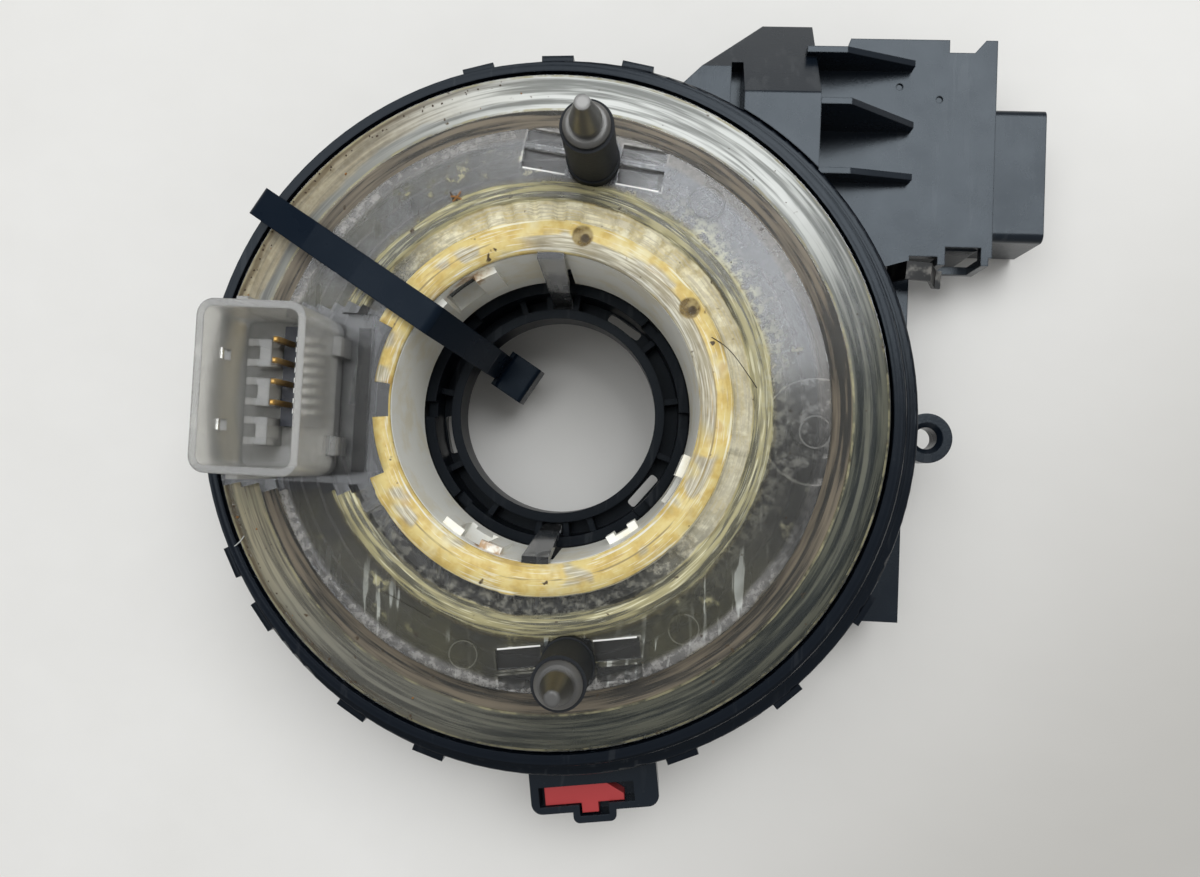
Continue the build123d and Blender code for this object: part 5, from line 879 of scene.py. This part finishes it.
def grime_mesh():
    """Thin closed film that follows the disc's turned top, left open at the tower's pad."""
    work = bmesh.new()
    low, high = (film_layer(work, lift) for lift in (FILM_LIFT, FILM_LIFT + FILM_THICKNESS))
    kept = set()
    for row in range(len(FILM_PROFILE) - 1):
        for i in range(FILM_SEGMENTS):
            j = (i + 1) % FILM_SEGMENTS
            corners = (low[row][i], low[row + 1][i], low[row + 1][j], low[row][j])
            if not any(in_pad(corner.co) for corner in corners):
                kept.add((row, i))
    for row, i in sorted(kept):
        j = (i + 1) % FILM_SEGMENTS
        work.faces.new((high[row][i], high[row + 1][i], high[row + 1][j], high[row][j]))
        underside = work.faces.new((low[row][j], low[row + 1][j], low[row + 1][i], low[row][i]))
        underside.material_index = 1
        # walls where the film ends
        if (row - 1, i) not in kept:
            work.faces.new((low[row][i], high[row][i], high[row][j], low[row][j]))
        if (row + 1, i) not in kept:
            work.faces.new((low[row + 1][j], high[row + 1][j], high[row + 1][i], low[row + 1][i]))
        if (row, (i - 1) % FILM_SEGMENTS) not in kept:
            work.faces.new((low[row + 1][i], high[row + 1][i], high[row][i], low[row][i]))
        if (row, j) not in kept:
            work.faces.new((low[row][j], high[row][j], high[row + 1][j], low[row + 1][j]))
    loose = [vert for vert in work.verts if not vert.link_faces]
    bmesh.ops.delete(work, geom=loose, context="VERTS")
    mesh = bpy.data.meshes.new("grime_film")
    work.to_mesh(mesh)
    work.free()
    mesh.shade_smooth()
    return mesh


grime_film = add_piece("grime_film", grime_mesh(), "rotor", ROTOR_GRIME_AND_PAINTED_LIGHT)
grime_film.data.materials.append(FILM_UNDERSIDE)

FULL_TURN = 6.28                         # radians
GRIT_LIFT = 0.05                         # millimetres from the disc's top to the middle of a lump


def grit_tree():
    """Scatters small rough lumps over the faces of a surface."""
    tree = bpy.data.node_groups.new("grit_scatter", "GeometryNodeTree")
    for socket, kind in (("Surface", "NodeSocketGeometry"), ("Per Square Metre", FLOAT), ("Smallest", FLOAT),
                         ("Largest", FLOAT), ("Seed", "NodeSocketInt"), ("Finish", "NodeSocketMaterial")):
        tree.interface.new_socket(socket, in_out="INPUT", socket_type=kind)
    tree.interface.new_socket("Grit", in_out="OUTPUT", socket_type="NodeSocketGeometry")
    g = Graph(tree)
    given = g.add("NodeGroupInput").outputs
    out = g.add("NodeGroupOutput").inputs
    points = g.fill(g.add("GeometryNodeDistributePointsOnFaces"), Mesh=given["Surface"],
                    Density=given["Per Square Metre"], Seed=given["Seed"])
    lump = g.fill(g.add("GeometryNodeMeshIcoSphere"), Radius=1.0, Subdivisions=1)
    turn = g.add("FunctionNodeRandomValue", data_type="FLOAT_VECTOR")
    turn.inputs[1].default_value = (FULL_TURN, FULL_TURN, FULL_TURN)
    size = g.add("FunctionNodeRandomValue", data_type="FLOAT")
    g.link(given["Smallest"], size.inputs[2])
    g.link(given["Largest"], size.inputs[3])
    for chance in (turn, size):
        g.link(given["Seed"], chance.inputs["Seed"])
    stretch = g.add("FunctionNodeRandomValue", data_type="FLOAT_VECTOR")
    stretch.inputs[0].default_value = (0.6, 0.6, 0.5)
    stretch.inputs[1].default_value = (1.6, 1.1, 0.9)
    scale = g.vector("SCALE", stretch.outputs[0], Scale=size.outputs[1])
    lumps = g.fill(g.add("GeometryNodeInstanceOnPoints"), Points=points["Points"], Instance=lump["Mesh"],
                   Rotation=turn.outputs[0], Scale=scale[0])
    real = g.fill(g.add("GeometryNodeRealizeInstances"), lumps["Instances"])
    finished = g.fill(g.add("GeometryNodeSetMaterial"), Geometry=real[0], Material=given["Finish"])
    g.link(finished[0], out["Grit"])
    return tree


def run_tree(tree, mesh, values, name):
    """Runs a node tree on a mesh and returns the result as a plain mesh."""
    carrier = bpy.data.objects.new(name + "_carrier", mesh)
    bpy.context.scene.collection.objects.link(carrier)
    modifier = carrier.modifiers.new("tree", "NODES")
    modifier.node_group = tree
    names = {item.name: item.identifier for item in tree.interface.items_tree if item.in_out == "INPUT"}
    for socket, value in values.items():
        modifier[names[socket]] = value
    result = bpy.data.meshes.new_from_object(carrier.evaluated_get(bpy.context.evaluated_depsgraph_get()))
    result.name = name
    carrier.modifiers.remove(modifier)
    bpy.data.objects.remove(carrier)
    return result


def sector_mesh(inner, outer, start, end, height=None, steps=24):
    """Flat or plateau-following sector of the rotor's top, used only to scatter over."""
    verts, faces = [], []
    for i in range(steps + 1):
        angle = start + (end - start) * i / steps
        for radius in (inner, outer):
            level = plateau_height(radius) if height is None else height
            verts.append(rotor_spot(angle, radius, level + GRIT_LIFT))
    for i in range(steps):
        faces.append((2 * i, 2 * i + 1, 2 * i + 3, 2 * i + 2))
    mesh = bpy.data.meshes.new("sector")
    mesh.from_pydata(verts, [], faces)
    return mesh


# Name; sector's radii, angles and height; lumps per square metre; smallest and largest size; seed; finish
GRIT = (
    ("grit_plateau", (29.2, 36.0, -155.0, 160.0, None), 52000.0, 0.05, 0.13, 3, GRIT_BROWN),
    ("grit_edge_left", (42.6, 43.6, 100.0, 250.0, FLANGE_TOP), 900000.0, 0.07, 0.20, 5, GRIT_BROWN),
    ("grit_edge_right", (39.6, 43.6, -110.0, 95.0, FLANGE_TOP), 40000.0, 0.05, 0.13, 8, GRIT_BROWN),
    ("rust_specks", (39.6, 43.2, 95.0, 250.0, FLANGE_TOP), 42000.0, 0.09, 0.26, 11, RUST_FLAKE),
)
GRIT_TREE = grit_tree()
for grit_name, sector, density, smallest, largest, seed, grit_finish in GRIT:
    grit_values = {"Per Square Metre": density, "Smallest": smallest * MM, "Largest": largest * MM,
                   "Seed": seed, "Finish": grit_finish}
    grit = run_tree(GRIT_TREE, sector_mesh(*sector), grit_values, grit_name)
    add_piece(grit_name, grit, "rotor")


def fibre_mesh(name, points, radius, finish):
    """A thin round fibre along a smooth line of points given in millimetres."""
    curve = bpy.data.curves.new(name, "CURVE")
    curve.dimensions = "3D"
    curve.bevel_depth = radius * MM
    curve.bevel_resolution = 1
    curve.use_fill_caps = True
    spline = curve.splines.new("NURBS")
    spline.points.add(len(points) - 1)
    for point, spot in zip(spline.points, points):
        point.co = (*(Vector(spot) * MM), 1.0)
    spline.order_u = 3
    spline.use_endpoint_u = True
    carrier = bpy.data.objects.new(name + "_carrier", curve)
    bpy.context.scene.collection.objects.link(carrier)
    mesh = bpy.data.meshes.new_from_object(carrier.evaluated_get(bpy.context.evaluated_depsgraph_get()))
    bpy.data.objects.remove(carrier)
    mesh.materials.clear()
    mesh.materials.append(finish)
    return mesh


# Name, points and radius in millimetres, finish
FIBRES = (
    ("fibre_hair",
     ((20.7, 9.5, 23.5), (22.2, 8.7, 23.56), (23.7, 7.2, 23.6), (25.2, 5.2, 23.6), (26.5, 3.4, 23.52)),
     0.055, FIBRE_DARK),
    ("flake_long", ((-11.5, 26.0, 22.2), (-12.3, 26.7, 22.45), (-13.2, 26.6, 22.3)), 0.14, RUST_FLAKE),
    ("flake_bent", ((-12.0, 27.3, 22.2), (-12.2, 26.6, 22.5), (-12.9, 26.0, 22.3)), 0.12, RUST_FLAKE),
    ("flake_dark", ((-11.9, 25.8, 22.2), (-12.8, 26.3, 22.4), (-13.3, 27.2, 22.25)), 0.10, GRIT_BROWN),
    ("fibre_edge", ((-40.2, -19.6, 19.65), (-39.4, -19.0, 19.75), (-39.0, -18.2, 19.65)), 0.07, FIBRE_PALE),
    ("fibre_low", ((-19.9, -24.0, 22.0), (-17.0, -25.3, 22.1), (-13.2, -27.2, 22.0)), 0.04, FIBRE_DARK),
)
for fibre_name, fibre_points, fibre_radius, fibre_finish in FIBRES:
    add_piece(fibre_name, fibre_mesh(fibre_name, fibre_points, fibre_radius, fibre_finish), "rotor")

# ---- Floor ----

FLOOR_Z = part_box("lower_shell")[0].z
FLOOR_HALF = 1.5


def make_floor():
    """Pale cloth-like table with a painted soft shadow towards the lower right."""
    mesh = bpy.data.meshes.new("floor")
    corners = [(x * FLOOR_HALF, y * FLOOR_HALF, FLOOR_Z) for x, y in ((-1, -1), (1, -1), (1, 1), (-1, 1))]
    mesh.from_pydata(corners, [], [(0, 1, 2, 3)])
    floor = bpy.data.objects.new("floor", mesh)
    bpy.context.scene.collection.objects.link(floor)
    material, g, shader = new_material("pale_table", (0.74, 0.735, 0.71), 0.7)
    weft, warp, shadow = (0.745, 0.725, 0.685), (0.81, 0.792, 0.758), (0.50, 0.48, 0.445)
    # painted shadow: the table's colour darkens towards the lower right
    shade = side_mask(g, g.place(), (0.75, -0.66, 0.0), 20.0, 120.0)
    cloth = g.mix(g.noise(g.place(), 34.0, 6.0, 0.6), weft, warp)
    g.link(g.mix(shade, cloth, shadow), shader["Base Color"])
    bump(g, shader, g.noise(g.place(), 26.0, 3.0), strength=0.25, distance=4.0 * MM)
    mesh.materials.append(material)


make_floor()
